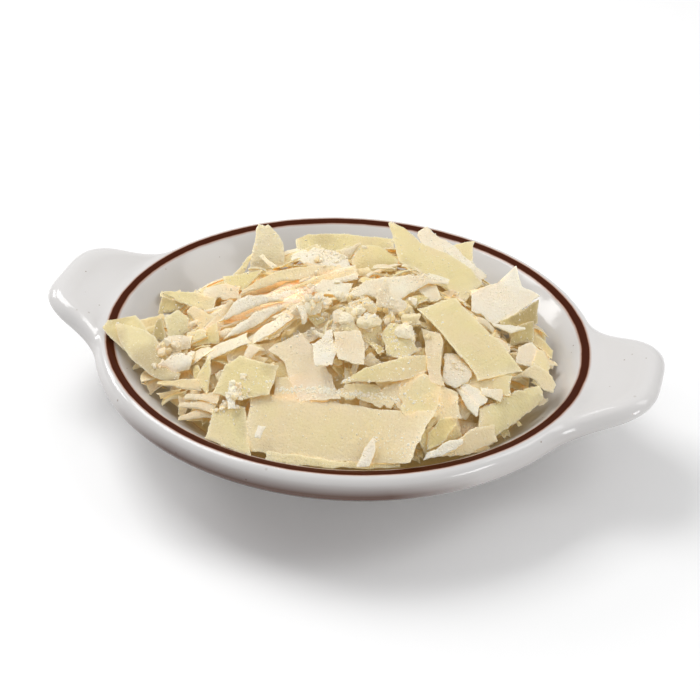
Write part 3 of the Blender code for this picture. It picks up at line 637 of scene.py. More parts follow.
big = {
    "frontStrip": dict(at=(14.2, -59.0, 38.0), turn=7, lean=24, rise=1,
                       near=[(-26.5, -10.5), (-8.5, -11.5), (7.5, -11), (26.5, -9.5)],
                       far=[(-29.5, 11), (-12.5, 11), (11, 9), (32, 10)], arch=-0.6, curl=0.5, flip=1.4,
                       tone=0.55, dust=0.15, bites=2),
    "underFront": dict(at=(17.0, -68.8, 33.1), turn=12, lean=28, rise=0,
                       near=[(-21, -1.5), (0, -2), (22, -0.5)], far=[(-21.5, 2), (-0.5, 0.5), (21.5, 1.5)],
                       tone=0.3, dust=0.3),
    "frontLowLeft": dict(at=(-17.2, -66.6, 36.1), turn=-4, lean=25, rise=1,
                         near=[(-7.5, -4.5), (-0.5, -6.5), (9.5, -8)], far=[(-9, 5), (-5, 8.5), (1, 9)],
                         tone=0.3, dust=0.2, bites=1),
    "frontUpperLeft": dict(at=(-18.4, -50.4, 44.7), turn=11, lean=23, rise=7,
                           near=[(-10.5, -5), (-1, -7.5), (8, -5.5)],
                           far=[(-8, 5), (-3, 9), (4.5, 6.5), (11, 5.5)], arch=0.6, tone=0.22, dust=0.1),
    "behindFront": dict(at=(0.5, -48.6, 42.6), turn=11, lean=25, rise=0, near=[(-9.5, -4), (9.5, -4)],
                        far=[(-9.5, 4), (-1.5, 6.5), (8, 4)], tone=0.6, dust=0.2),
    "middleSlab": dict(at=(-1.0, -40.6, 46.3), turn=-44, lean=16, rise=-13,
                       near=[(-14, -7.5), (-6, -5.5), (2.5, -6.5), (10.5, -7.5)],
                       far=[(-13.5, 5), (-4.5, 6), (6, 5.5), (17, 4.5)], arch=0.5, tone=0.68, dust=0.4),
    "middleSquare": dict(at=(12.1, -34.0, 53.7), turn=14, lean=17, rise=0, near=[(-4, -6), (5, -7)],
                         far=[(-5.5, 5), (-0.5, 7), (3.5, 6.5)], tone=0.9, dust=0.25),
    "middleDusty": dict(at=(5.0, -37.5, 53.4), turn=49, lean=13, rise=8, near=[(-5.5, -5), (-1, -6.5)],
                        far=[(-3, 3), (4, 6), (6.5, 4)], tone=0.95, dust=0.9, tear=1.0),
    "crescent": dict(at=(26.7, -36.9, 49.5), turn=38, lean=30, rise=0,
                     near=[(-17, -1), (-3, -4), (5.5, -4.5), (15, -2.5)],
                     far=[(-16.5, -0.5), (-8, 2), (2.5, 2.5), (11.5, 2.5), (16.5, 1.5)], arch=1.2, tone=0.4,
                     dust=0.1, curved=True),
    "rightStrip": dict(at=(47.6, -14.7, 50.8), turn=-32, lean=0, rise=-17,
                       near=[(-19.5, -6), (-6, -7.5), (1.5, -8), (8.5, -8), (15, -9)],
                       far=[(-17.5, 4.5), (-16, 8.5), (-1.5, 7), (7.5, 8), (19.5, 7.5)], arch=1.4, curl=-0.4,
                       tone=0.3, dust=0.12, tear=0.4),
    "verticalFlake": dict(at=(38.4, -26.9, 49.9), turn=-68, lean=4, rise=-17,
                          near=[(-12, -2.5), (-2.5, -2), (9.5, -2)],
                          far=[(-9.5, 3), (-4.5, 4), (5.5, 2), (12, 2.5)], arch=0.8, tone=0.6, dust=0.2),
    "crownLeaf": dict(at=(26.8, -26.1, 52.9), turn=22, lean=16, rise=-5,
                      near=[(-4.5, -4.5), (0, -6.5), (6, -3)],
                      far=[(-5.5, 3.5), (-2, 7.5), (2.5, 6), (5, 2)], arch=1.2, curl=0.8, tone=0.35,
                      dust=0.15, curved=True),
    "dustyPatch": dict(at=(46.5, -27.4, 47.2), turn=-3, lean=14, rise=-12,
                       near=[(-3, -5.5), (2.5, -7.5), (6, -3.5)], far=[(-6, 5), (-1, 7.5), (5, 3)], curl=0.8,
                       tone=0.8, dust=0.7),
    "rightLong": dict(at=(57.8, -26.2, 44.1), turn=11, lean=21, rise=-10,
                      near=[(-7.5, -3.5), (0.5, -4.5), (7.5, -3.5)], far=[(-7.5, 3), (0, 2), (7.5, 3)],
                      tone=0.5, dust=0.1, bites=1),
    "starPlate": dict(at=(51.7, 22.7, 45.7), turn=-5, lean=11, rise=-10,
                      near=[(-11.5, -4.5), (-7.5, -12.5), (-3, -13), (2, -14.5)],
                      far=[(-11, -3.5), (-7.5, 0.5), (-3, 5.5), (-2, 10), (-1, 15), (2, 10.5), (4.5, 6.5),
                           (7.5, 7), (11.5, 7)],
                      arch=0.8, tone=0.85, dust=0.85, tear=0.8),
    # starSide and oliveBlock hang down under the starPlate; their tone 0, olive, is painted shade
    "starSide": dict(at=(58.8, 18.2, 42.6), turn=54, lean=49, rise=-8,
                     near=[(-10.5, -2), (-4, -6), (5.5, -5.5)], far=[(-10, -1), (-0.5, 0.5), (10, 2.5)],
                     tone=0.0),
    "oliveBlock": dict(at=(61.0, 12.1, 38.7), turn=46, lean=34, rise=-2, near=[(-6.5, -3.5), (2, -5)],
                       far=[(-5, 1.5), (0, 2), (6.5, 3)], tone=0.0, thickness=2.2),
    "whiteBlade": dict(at=(56.8, 8.7, 42.3), turn=24, lean=10, rise=-11,
                       near=[(-6, -0.5), (0, -3), (6, -0.5)], far=[(-5.5, 1), (-0.5, 0.5), (6, 0.5)],
                       tone=0.9, dust=0.5),
    "backLeaf": dict(at=(22.0, 33.0, 48.5), turn=-34, lean=2, rise=-8,
                     near=[(-26, 1), (-14.5, -5.5), (-5, -10.5), (5.5, -7.5), (15, -6), (24, -4)],
                     far=[(-25.5, 2.5), (-19.5, 4), (-9.5, 3), (2.5, 8), (11.5, 9), (20, 7.5)], arch=1.0,
                     curl=0.6, tone=0.3, dust=0.12, tear=0.4),
    "backDusty": dict(at=(27.2, 43.9, 45.2), turn=-26, lean=3, rise=-7,
                      near=[(-9.5, -6), (3, -4.5), (18.5, -5.5)],
                      far=[(-17.5, 0.5), (-17.5, 6), (-9.5, 4), (1.5, 4), (17, 0)], tone=0.85, dust=0.7,
                      tear=0.8),
    "backSquare": dict(at=(29.5, 52.2, 41.8), turn=-3, lean=9, rise=-1, near=[(-5, -1.5), (6, -7.5)],
                       far=[(-5.5, 2), (2.5, 8)], tone=0.45, dust=0.2),
    "backStrip": dict(at=(-14.3, 44.4, 41.4), turn=13, lean=13, rise=1,
                      near=[(-18.5, -4), (-5.5, -5.5), (19, -6)],
                      far=[(-19.5, 2), (-15, 5), (1.5, 5.5), (18.5, 4)], tone=0.22, tear=0.3, dust=0.1),
    "backDome": dict(at=(3.5, 24.1, 49.3), turn=23, lean=21, rise=4, near=[(-9, -4), (-1.5, -4), (7.5, -4)],
                     far=[(-8.5, 2), (-4, 7.5), (2, 7), (8, 1.5)], arch=1.6, curl=1.2, tone=0.35,
                     curved=True),
    "backScallop": dict(at=(-16.3, 23.9, 47.4), turn=-2, lean=12, rise=7,
                        near=[(-12, -3), (-3.5, -4.5), (4.5, -5), (12.5, -4)],
                        far=[(-12.5, 1), (-6, 5), (3, 4.5), (9, 2)], arch=0.8, tone=0.95, dust=0.5, bites=3),
    "standingLeaf": dict(at=(-37.2, 22.8, 45.7), turn=113, lean=5, rise=35,
                         near=[(-4.5, -6), (2.5, -6), (7.5, -4.5), (12, -1.5)],
                         far=[(-8, 7.5), (2, 6), (10, 4), (12, 3)], arch=0.8, tone=0.2, dust=0.6, tear=0.4),
    "standingBlade": dict(at=(-44.6, 15.3, 43.7), turn=78, lean=4, rise=20, near=[(-6, -2), (8, -1)],
                          far=[(-8, 1), (5, 0)], tone=0.35, dust=0.2),
    "stackTop": dict(at=(-20.4, 3.8, 50.0), turn=29, lean=18, rise=7,
                     near=[(-20, -1), (-12, -1.5), (-4.5, 0), (7, -1.5), (17.5, -3.5)],
                     far=[(-19, -0.5), (-11, 3.5), (1, 4.5), (17, 2)], arch=1.0, tone=0.5, dust=0.2,
                     curved=True),
    "stackOlive": dict(at=(-40.5, 2.2, 46.7), turn=18, lean=12, rise=7, near=[(-5, -4.5), (2, -6)],
                       far=[(-6, 2), (8, 3.5)], tone=0.3),
    "stackLow": dict(at=(-44.5, -5.3, 45.1), turn=11, lean=15, rise=6, near=[(-7, -3.5), (7, -3.5)],
                     far=[(-7, 2), (0.5, 4.5), (6, 2.5)], tone=0.85, bites=1),
    "leftPoint": dict(at=(-56.3, -10.2, 41.6), turn=-17, lean=26, rise=7,
                      near=[(-12.5, 1), (0, -1.5), (13, -2)], far=[(-12, 2), (-1.5, 4), (10.5, 4.5)],
                      arch=0.6, tone=0.35, dust=0.1),
    # leftUnder and leftBlockBehind face away from the light; their tone 0, olive, is painted shade
    "leftUnder": dict(at=(-62.7, -9.8, 39.2), turn=-9, lean=30, rise=8, near=[(-3, -4.5), (3, -2)],
                      far=[(-5.5, 3), (5.5, 0.5)], tone=0.0),
    "leftBlock": dict(at=(-55.1, -23.8, 40.3), turn=32, lean=20, rise=8, near=[(-3.5, -6.5), (4, -3.5)],
                      far=[(-3, 5), (2.5, 7), (5, 2)], tone=0.3, dust=0.25, thickness=1.5),
    "leftBlockBehind": dict(at=(-59.5, -26.1, 39.2), turn=34, lean=19, rise=15, near=[(-4, -3.5), (0, -5.5)],
                            far=[(-1.5, 3.5), (2, 5)], tone=0.0, thickness=1.5),
    "petalWhite": dict(at=(-29.3, -16.3, 47.3), turn=35, lean=25, rise=11,
                       near=[(-12.5, 0), (-5.5, 0), (4, 1), (12, 0)],
                       far=[(-10.5, 1), (-2.5, 5.5), (5.5, 4.5), (11.5, 1)], arch=0.8, tone=1.0, dust=0.6,
                       curved=True),
    "bladeWhite": dict(at=(-25.6, -22.9, 47.8), turn=51, lean=23, rise=10,
                       near=[(-13.5, -0.5), (-3, -1.5), (12.5, -0.5)], far=[(-10, 1), (1.5, 2.5), (12.5, 1)],
                       arch=0.6, tone=1.0, dust=0.4, curved=True),
    "overhang": dict(at=(-72.5, -30.0, 37.2), turn=-24, lean=15, rise=0,
                     near=[(-9.5, -2), (0, -4), (10, -6)], far=[(-10, 2), (-3, 9), (7.5, 6)], tone=0.08,
                     dust=0.1, tear=0.3),
    "overhangUpper": dict(at=(-60.5, -37.4, 38.3), turn=-32, lean=17, rise=-2,
                          near=[(-19.5, 0), (-7, -4.5), (3, -5.5), (14, -5), (19.5, -0.5)],
                          far=[(-19, 1.5), (-5, 5.5), (5.5, 4), (18, 2)], arch=1.0, curl=0.5, tone=0.1,
                          dust=0.25, tear=0.3, curved=True),
    "lobeUpper": dict(at=(-50.7, -34.3, 41.6), turn=21, lean=22, rise=12,
                      near=[(-6.5, -2), (-2, -3.5), (5, -3)], far=[(-6, 1), (-1.5, 3), (6, 2)], arch=0.6,
                      curl=1.0, tone=0.8, dust=0.5, curved=True),
    "lobeLower": dict(at=(-47.2, -43.2, 39.7), turn=5, lean=25, rise=9,
                      near=[(-6, -1.5), (0, -4), (5.5, -2.5)], far=[(-5, 2.5), (0, 3.5), (5.5, 3.5)],
                      curl=0.8, tone=0.9, dust=0.6, tear=1.0, bites=2, curved=True),
    "spikePetal": dict(at=(-33.0, -50.0, 42.4), turn=-59, lean=30, rise=-16, near=[(-1, -3.5), (7, -1)],
                       far=[(-6.5, 2.5), (-3, 2.5), (6.5, 0)], tone=0.35),
    "topArch": dict(at=(18.2, -1.3, 56.4), turn=37, lean=16, rise=-3,
                    near=[(-20.5, -1.5), (-11.5, -1), (-3, -7), (4, -3), (12.5, 0.5), (19.5, -0.5)],
                    far=[(-16.5, 2), (-9, 5.5), (3, 4.5), (14.5, 4.5), (20.5, 1)], arch=1.6, tone=0.9,
                    dust=0.3),
    "topSpike": dict(at=(18.5, -11.1, 60.5), turn=110, lean=-10, rise=44,
                     near=[(-4.5, -2.5), (1, -1), (6, 0.5)], far=[(-3.5, 4), (2, 3), (6, 1)], tone=0.9,
                     dust=0.3, curved=True),
    "topStick": dict(at=(-7.0, -25.5, 56.5), turn=29, lean=30, rise=0, near=[(-1.5, -3), (1.5, -3)],
                     far=[(-1.5, 3), (1, 3)], tone=1.0, dust=0.8, thickness=1.8),
    "scallop": dict(at=(46.2, -43.6, 41.6), turn=35, lean=26, rise=5, near=[(-7, -5), (0, -3.5), (5.5, -4)],
                    far=[(-4, 5.5), (2.5, 8.5), (7, 4.5)], tone=0.4, dust=0.2, curved=True),
    "translucent": dict(at=(47.8, -50.3, 38.1), turn=56, lean=34, rise=9,
                        near=[(-7.5, -2), (-2.5, -2.5), (6.5, -0.5)], far=[(-3.5, 2.5), (2.5, 3.5), (8, 1)],
                        curl=-0.8, tone=0.2),
    "petalA": dict(at=(52.6, -37.0, 41.9), turn=-45, lean=11, rise=-16,
                   near=[(-6.5, -0.5), (3, -0.5), (6.5, 0)], far=[(-5.5, 1.5), (1.5, 3), (6, 1)], tone=0.9,
                   dust=0.4, curved=True),
    "petalB": dict(at=(54.3, -33.8, 43.0), turn=-15, lean=14, rise=-14, near=[(-5, -0.5), (3, -2.5), (5, 0)],
                   far=[(-4, 2), (1, 3), (4.5, 2)], tone=0.9, dust=0.6, curved=True),
    "petalC": dict(at=(59.7, -31.2, 43.1), turn=9, lean=16, rise=-10, near=[(-3, -2), (3, -2.5)],
                   far=[(-3.5, 1), (3.5, 2)], tone=0.9, dust=0.3, curved=True),
    "rightLeaf": dict(at=(66.3, -33.4, 37.2), turn=56, lean=40, rise=1,
                      near=[(-17, -3.5), (-8.5, -4), (2.5, -3.5), (15, -1)],
                      far=[(-8.5, 6), (0, 6), (9.5, 5.5), (17, 4)], arch=0.8, curl=0.8, tone=0.3, dust=0.2,
                      bites=1),
    "rightLow": dict(at=(57.2, -49.1, 36.3), turn=40, lean=47, rise=4,
                     near=[(-11, -1.5), (-1.5, -3.5), (9, -2.5)], far=[(-3.5, 2), (3, 3.5), (9.5, 3)],
                     tone=0.5, dust=0.2),
    "whiteCurl": dict(at=(49.9, -55.9, 37.0), turn=40, lean=45, rise=6, near=[(-8, -1), (-0.5, -3), (7, -1)],
                      far=[(-4.5, 0.5), (2.5, 1.5), (7.5, 0.5)], arch=0.8, tone=1.0, dust=0.8),
    "rightCurl": dict(at=(71.3, -14.6, 40.3), turn=-1, lean=24, rise=-7,
                      near=[(-7, -3), (-2, -1), (4, -3.5), (7.5, -4)],
                      far=[(-6.5, -1), (-2, 4), (3.5, 2.5), (7, -0.5)], arch=1.2, tone=0.6, dust=0.3,
                      curved=True),
    "rightCurlArm": dict(at=(71.4, -7.2, 41.7), turn=-35, lean=4, rise=-4, near=[(0, -3.5), (6, -2.5)],
                         far=[(-6, 2.5), (-3.5, 3.5), (4, 1)], tone=0.55, dust=0.2),
    "frontShard": dict(at=(28.1, -65.8, 37.1), turn=83, lean=8, rise=29,
                       near=[(-5.5, 1.5), (1, 1.5), (5.5, 0.5)], far=[(-3.5, -2), (1.5, -2), (5.5, -0.5)],
                       tone=1.0, dust=0.9, tear=0.2),
    "underCrescent": dict(at=(25.1, -40.5, 45.9), turn=17, lean=25, rise=1,
                          near=[(-14.5, -5), (-4, -7.5), (7, -9.5)], far=[(-12.5, -0.5), (1, -0.5), (14, 4)],
                          tone=0.45, dust=0.3, bites=4, tear=1.0),
    "goldenRight": dict(at=(38.6, -41.4, 44.4), turn=18, lean=22, rise=0,
                        near=[(-7, -6.5), (-0.5, -9), (4.5, -8)], far=[(-6, 3.5), (1.5, 8.5), (6.5, 5.5)],
                        tone=0.3, dust=0.2, bites=2, tear=0.8),
    "crestLeft": dict(at=(-3.5, -3.4, 53.0), turn=-14, lean=14, rise=5, near=[(-5.5, -1.5), (6.5, -3)],
                      far=[(-6.5, 3), (5, 5)], tone=0.9, dust=0.3),
    "wallLeft": dict(at=(-44.3, -30.8, 42.4), turn=21, lean=20, rise=15, near=[(-3, -2), (4, -1)],
                     far=[(-3.5, 3), (3.5, 2)], tone=0.4, dust=0.2),
    "rightBehind": dict(at=(66.1, -6.4, 42.7), turn=17, lean=14, rise=-12, near=[(-4.5, -5), (2, -5.5)],
                        far=[(-3, 3), (1.5, 6), (4, 3)], tone=0.85, dust=0.5),
    "frontGrain": dict(at=(-6.9, -68.6, 39.6), turn=95, lean=10, rise=12, size=(5, 2), tone=1.0, dust=1.0,
                       thickness=1.3),
    "squiggle": dict(at=(-20.5, -58.0, 43.2), turn=112, lean=0, rise=22, size=(10, 2.2), tone=1.0, dust=1.0,
                     thickness=1.2),
    "centreA": dict(at=(31.1, -38.0, 45.2), turn=34, lean=30, rise=10, size=(15, 8), ends=(1, 0.5), tone=0.4,
                    dust=0.2, bites=1),
    "centreB": dict(at=(43.6, -38.5, 42.8), turn=-30, lean=30, rise=-8, size=(12, 9), ends=(0.6, 1),
                    tone=0.3, dust=0.3),
    "behindRight": dict(at=(38.0, -43.5, 42.4), turn=18, lean=34, rise=5, size=(16, 8), ends=(0.4, 1),
                        tone=0.35, bites=2),
    "backSpike": dict(at=(-7.6, 31.0, 48.4), turn=40, lean=30, rise=30, size=(8, 4), ends=(1, 0.2),
                      tone=0.95),
    "standingSpike": dict(at=(-35.0, 15.8, 47.0), turn=-33, lean=10, rise=-6, size=(9, 2), tone=0.95,
                          thickness=0.8),
    "stripAmber": dict(at=(-24.0, -19.6, 47.0), turn=40, lean=22, rise=11, size=(24, 6), ends=(0.4, 0.8),
                       tone=0.65, thickness=0.9),
    "leftLeaf": dict(at=(-48.6, -17.6, 42.0), turn=-40, lean=30, rise=7, size=(14, 7), ends=(0.4, 1),
                     tone=0.6),
    "petalUpright": dict(at=(-39.4, -20.0, 45.2), turn=80, lean=14, rise=16, size=(16, 5), ends=(1, 0.3),
                         tone=0.8, thickness=0.9),
    "leftSmallLeaf": dict(at=(-43.0, -29.6, 42.0), turn=22, lean=26, rise=12, size=(12, 8), ends=(0.5, 1),
                          tone=0.35),
    "sliverLow": dict(at=(-42.0, -51.6, 38.0), turn=-6, lean=30, rise=14, size=(18, 5), ends=(0.2, 1),
                      tone=0.5, thickness=1.0),
    "sliverA": dict(at=(-32.0, -56.4, 38.6), turn=-10, lean=26, rise=18, size=(14, 5), ends=(0.3, 1),
                    tone=0.75, thickness=1.0),
    "sliverB": dict(at=(-33.0, -58.4, 36.4), turn=-9, lean=24, rise=18, size=(15, 5.5), ends=(0.2, 1),
                    tone=0.75),
    "sliverC": dict(at=(-32.0, -60.6, 34.4), turn=10, lean=24, rise=20, size=(14, 5), ends=(0.2, 1),
                    tone=0.7),
    "midRight": dict(at=(47.6, -50.4, 37.0), turn=50, lean=40, rise=6, size=(14, 8), tone=0.35),
}


# the fan of long leaves on the left, each a little further up and back than the last
fan = {
    "rows": [((-41, -20, 42), (-33, 4, 45.5)), ((-34, -24, 42.5), (-17, 5, 48.5)),
             ((-21, -10, 47.5), (-6, 9, 51.5))],
    "leaves": 8,
    "length": (20, 32),
    "width": (6, 10),
    "turn": (38, 6),
    "seed": 17,
}


def fanLeaves():
    rng = np.random.default_rng(fan["seed"])
    for start, stop in fan["rows"]:
        for share in np.linspace(0, 1, fan["leaves"]):
            at = np.array(start) * (1 - share) + np.array(stop) * share + rng.normal(0, (1.6, 1.0, 0.4))
            ends = (rng.uniform(0.1, 0.5), rng.uniform(0.3, 0.9))
            yield dict(at=at, turn=rng.normal(*fan["turn"]), lean=rng.normal(19, 5), rise=rng.normal(8, 3),
                       size=(rng.uniform(*fan["length"]), rng.uniform(*fan["width"])), ends=ends,
                       arch=rng.uniform(0.2, 1.6), curl=rng.uniform(0, 0.8), thickness=rng.uniform(0.45, 0.7),
                       tone=rng.choice([0.3, 0.95, 1.0, 1.0]), dust=rng.choice([0.1, 0.3, 0.6]))


def makeBigShavings():
    points, faces, attributes = [], [], {"tone": [], "edge": [], "dust": [], "along": []}
    undersides = []
    for seed, spec in enumerate([dict(spec) for spec in big.values()] + list(fanLeaves())):
        rng = np.random.default_rng(100 + seed)
        at, turn, lean, rise = (spec.pop(key) for key in ("at", "turn", "lean", "rise"))
        tone, dust = spec.pop("tone"), spec.pop("dust", 0.0)
        if "size" in spec:
            spec["near"], spec["far"] = straightEdges(*spec.pop("size"), spec.pop("ends", (1, 1)))
        shape, made, steps = slab(rng, pitch=shaving["pitch"], **spec)
        shape = rotated(shape, turn, lean, rise) + np.array(at)
        faces += slabFaces(steps, sum(map(len, points)))
        points.append(shape)
        undersides.append(shape[len(shape) // 2:])
        made.update(tone=np.full(len(shape), tone), dust=np.full(len(shape), dust))
        for key, values in made.items():
            attributes[key].append(values)
    joined = {key: np.concatenate(values) for key, values in attributes.items()}
    made = newObject("bigShavings", np.vstack(points), faces, joined)
    print("big shavings:", len(points), "faces:", len(faces))
    return made, np.vstack(undersides)


# Heap: the loose shavings that fill the bowl, settled one on another under the placed ones

heap = {
    "centre": (3.0, -5.5),
    "halfLength": 69.0,
    "halfWidth": 63.0,
    "edgeHeight": 31.0,
    "peak": 56.0,
    # the lower filling: centre, reaches, and heights at its edge and middle
    "skirt": (-6, -14, 71, 61.8, 29.0, 35.0),
    "spread": (0, -9, 76, 67),  # where shavings may lie: centre and reaches
    "bare": [(-63, -3), (-48, 12)],  # nothing at the outline's height further left and back than this line
    "bareEnd": -40,  # as far right as this
    "coreDepth": 4.5,  # how far the solid core lies under the heap's outline
    "back": (2.0, 20.0),  # between these lines the core's side turns from a bank to a slope
    "slope": (0.66, 0.92),  # shares of the heap's reach between which it falls to the bowl there
    "slump": 1.5,  # how far it has fallen where shavings lie on it
    "tries": 10400,
    "slopeTries": 3000,
    "choices": 10,
    "cavity": (-42.0, -56.0, 8.0, 7.0, 3.5),  # hollow by the front left wall: x, y, reaches, depth
    "groove": ((-24, -30), (2, 4), 4.0, 5.0),  # between the fan and the small stuff: its ends, reach, depth
    "crumbly": (16.0, -14.0, 20.0),  # the small stuff on top: x, y, reach
    "stack": (-6, -44),  # left of and behind these, most lie like the fan's leaves
    "stackShare": 0.8,
    "steepest": 0.8,
    "seed": 7,
    "cell": 1.0,
    "corner": (-92.0, -84.0),  # of the grid that holds the heights
    "cells": (185, 169),
    "kinds": 18,
    "pieces": [("stackedShavings", 1.1), ("looseShavings", 1.1), ("smallShavings", 1.6)],  # and their pitch
    "coreSides": 240,
    "coreEdge": 0.93,
    "coreLumps": (38, 84, 1.3),  # rows and columns of lumps, and their height
    "coreClearance": 1.2,
}


def heapOutline(x, y):
    across, along = (x - heap["centre"][0]) / heap["halfLength"], (y - heap["centre"][1]) / heap["halfWidth"]
    reach = across ** 2 + along ** 2
    cx, cy, rx, ry, depth = heap["cavity"]
    hollow = depth * np.exp(-((x - cx) / rx) ** 2 - ((y - cy) / ry) ** 2)
    start, stop, width, groove = heap["groove"]
    along = np.array(stop, float) - start
    share = np.clip(((x - start[0]) * along[0] + (y - start[1]) * along[1]) / (along @ along), 0, 1)
    off = np.hypot(x - start[0] - share * along[0], y - start[1] - share * along[1])
    hollow = hollow + groove * np.exp(-(off / width) ** 2)
    mound = heap["edgeHeight"] + (heap["peak"] - heap["edgeHeight"]) * (1 - reach) - hollow
    sx, sy, rx, ry, edge, top = heap["skirt"]
    low = ((x - sx) / rx) ** 2 + ((y - sy) / ry) ** 2
    skirt = np.where(low < 1, edge + (top - edge) * (1 - low), 0)
    return np.maximum(np.where(reach < 1, mound, 0), skirt)


def backShare(y):
    start, stop = heap["back"]
    return np.clip((y - start) / (stop - start), 0, 1)


# lowest that the core goes: just over the bowl in front, and under its glaze at the back
def coreFloor(x, y):
    return bowlHeight(x, y) + 0.5 - 2.0 * backShare(y)


def coreTop(x, y):
    top = heapOutline(x, y) - heap["coreDepth"]
    across, along = (x - heap["centre"][0]) / heap["halfLength"], (y - heap["centre"][1]) / heap["halfWidth"]
    reach = np.hypot(across, along)
    start, stop = heap["slope"]
    fall = backShare(y) * np.clip((reach - start) / (stop - start), 0, 1)
    return top - fall * np.maximum(top - coreFloor(x, y), 0)


def cellOf(x, y):
    return (np.round((x - heap["corner"][0]) / heap["cell"]).astype(int),
            np.round((y - heap["corner"][1]) / heap["cell"]).astype(int))


# lowest underside of the placed shavings over each cell
def ceilingOver(points):
    ceiling = np.full(heap["cells"], 1e3)
    i, j = cellOf(points[:, 0], points[:, 1])
    keep = (i >= 0) & (i < heap["cells"][0]) & (j >= 0) & (j < heap["cells"][1])
    np.minimum.at(ceiling, (i[keep], j[keep]), points[keep, 2])
    return ceiling


# direction, size and tilt of the next shaving, by where it falls
def drawShaving(rng, stacked, crumbly):
    if stacked:
        turn, length, width = rng.normal(38, 11), rng.uniform(14, 26), rng.uniform(6, 10)
        return turn, length, width, rng.normal(0.06, 0.08), rng.normal(0.24, 0.12)
    if crumbly:
        turn, length = rng.uniform(0, 360), rng.triangular(4, 7, 13)
        return turn, length, length * rng.uniform(0.5, 0.9), rng.normal(0, 0.5), rng.normal(0, 0.5)
    turn, length = rng.uniform(0, 360), rng.triangular(6, 9, 20)
    return turn, length, length * rng.uniform(0.38, 0.75), rng.normal(0, 0.25), rng.normal(0, 0.25)


def settleShavings(ceiling):
    rng = np.random.default_rng(heap["seed"])
    columns, rows = heap["cells"]
    gx = heap["corner"][0] + heap["cell"] * np.arange(columns)[:, None] * np.ones((columns, rows))
    gy = heap["corner"][1] + heap["cell"] * np.arange(rows)[None, :] * np.ones((columns, rows))
    bowl, outline, slope = bowlHeight(gx, gy), heapOutline(gx, gy), coreTop(gx, gy)
    ground = np.maximum(bowl, outline - heap["coreDepth"])
    slumped = outline - heap["coreDepth"] - slope > heap["slump"]
    (bx, by), (ex, ey) = heap["bare"]
    left, front = heap["stack"]
    placed = []
    for attempt in range(heap["tries"] + heap["slopeTries"]):
        onSlope = attempt >= heap["tries"]
        if attempt == heap["tries"]:
            # from here on, more of them lie flat on the slope at the back
            ground, outline = np.maximum(bowl, slope), slope + heap["coreDepth"]
        # of some random places, the one that is furthest below the outline
        angle = rng.uniform(0, 2 * math.pi, heap["choices"])
        radius = np.sqrt(rng.uniform(0, 1, heap["choices"]))
        px = heap["spread"][0] + heap["spread"][2] * radius * np.cos(angle)
        py = heap["spread"][1] + heap["spread"][3] * radius * np.sin(angle)
        i, j = cellOf(px, py)
        room = np.minimum(outline[i, j], ceiling[i, j]) - ground[i, j]
        best = 0 if onSlope else int(np.argmax(room))
        x, y = px[best], py[best]
        if onSlope:
            if not slumped[i[best], j[best]]:
                continue
        elif (ex - bx) * (y - by) - (ey - by) * (x - bx) > 0 and x < heap["bareEnd"]:
            continue
        crumbly = math.hypot(x - heap["crumbly"][0], y - heap["crumbly"][1]) < heap["crumbly"][2]
        stacked = x < left and y > front and not crumbly and not onSlope and rng.random() < heap["stackShare"]
        turn, length, width, tiltAlong, tiltAcross = drawShaving(rng, stacked, crumbly)
        cos, sin = math.cos(math.radians(turn)), math.sin(math.radians(turn))
        u = np.linspace(-0.5, 0.5, max(3, int(length / 1.2)))[:, None] * length
        v = np.linspace(-0.5, 0.5, max(3, int(width / 1.2)))[None, :] * width
        lx, ly = (u + 0 * v).ravel(), (v + 0 * u).ravel()
        ci, cj = cellOf(x + lx * cos - ly * sin, y + lx * sin + ly * cos)
        if ci.min() < 0 or cj.min() < 0 or ci.max() >= columns or cj.max() >= rows:
            continue
        # it lies along the ground, tilted a little, and rests on the highest of it
        under = ground[ci, cj]
        fit = np.linalg.lstsq(np.column_stack([np.ones(len(lx)), lx, ly]), under, rcond=None)[0]
        slopeAlong = np.clip(fit[1], -heap["steepest"], heap["steepest"]) + tiltAlong
        slopeAcross = np.clip(fit[2], -heap["steepest"], heap["steepest"]) + tiltAcross
        plane = slopeAlong * lx + slopeAcross * ly
        height = np.percentile(under - plane, 93)
        thick = shaving["thickness"] * (rng.uniform(0.4, 0.6) if stacked else rng.uniform(0.5, 0.95))
        top = height + plane + thick
        if (top > ceiling[ci, cj] - 0.2).mean() > 0.03:
            continue
        if height > outline[i[best], j[best]] + rng.uniform(-0.5, 2.5):
            continue
        if (height + plane < bowl[ci, cj] - 1.0).any():
            continue
        np.maximum.at(ground, (ci, cj), top)
        kind = 0 if stacked else 2 if crumbly else 1
        placed.append((x, y, height + thick / 2, turn, math.atan(slopeAcross), math.atan(slopeAlong),
                       length, width, thick, kind))
    print("settled shavings:", len(placed))
    return np.array(placed)


# a few shapes of small shaving, each one unit long and wide, that the heap repeats
def shavingShapes(count, pitch):
    box = bpy.data.collections.new("shavingShapes")
    for k in range(count):
        rng = np.random.default_rng(300 + k)
        border = lambda side: [(x + rng.uniform(-1.5, 1.5), side * rng.uniform(0.25, 1.0) * 4)
                               for x in (-7, -1, 7)]
        shape, attributes, steps = slab(rng, border(-1), border(1), pitch, arch=rng.uniform(-0.4, 1.4),
                                        curl=rng.uniform(-0.4, 0.7), curved=rng.random() < 0.4, tear=0.6)
        shape = shape / np.array([14, 8, shaving["thickness"]])
        made = newObject("shavingShape%02d" % k, shape, slabFaces(steps), attributes)
        bpy.context.scene.collection.objects.unlink(made)
        box.objects.link(made)
    return box


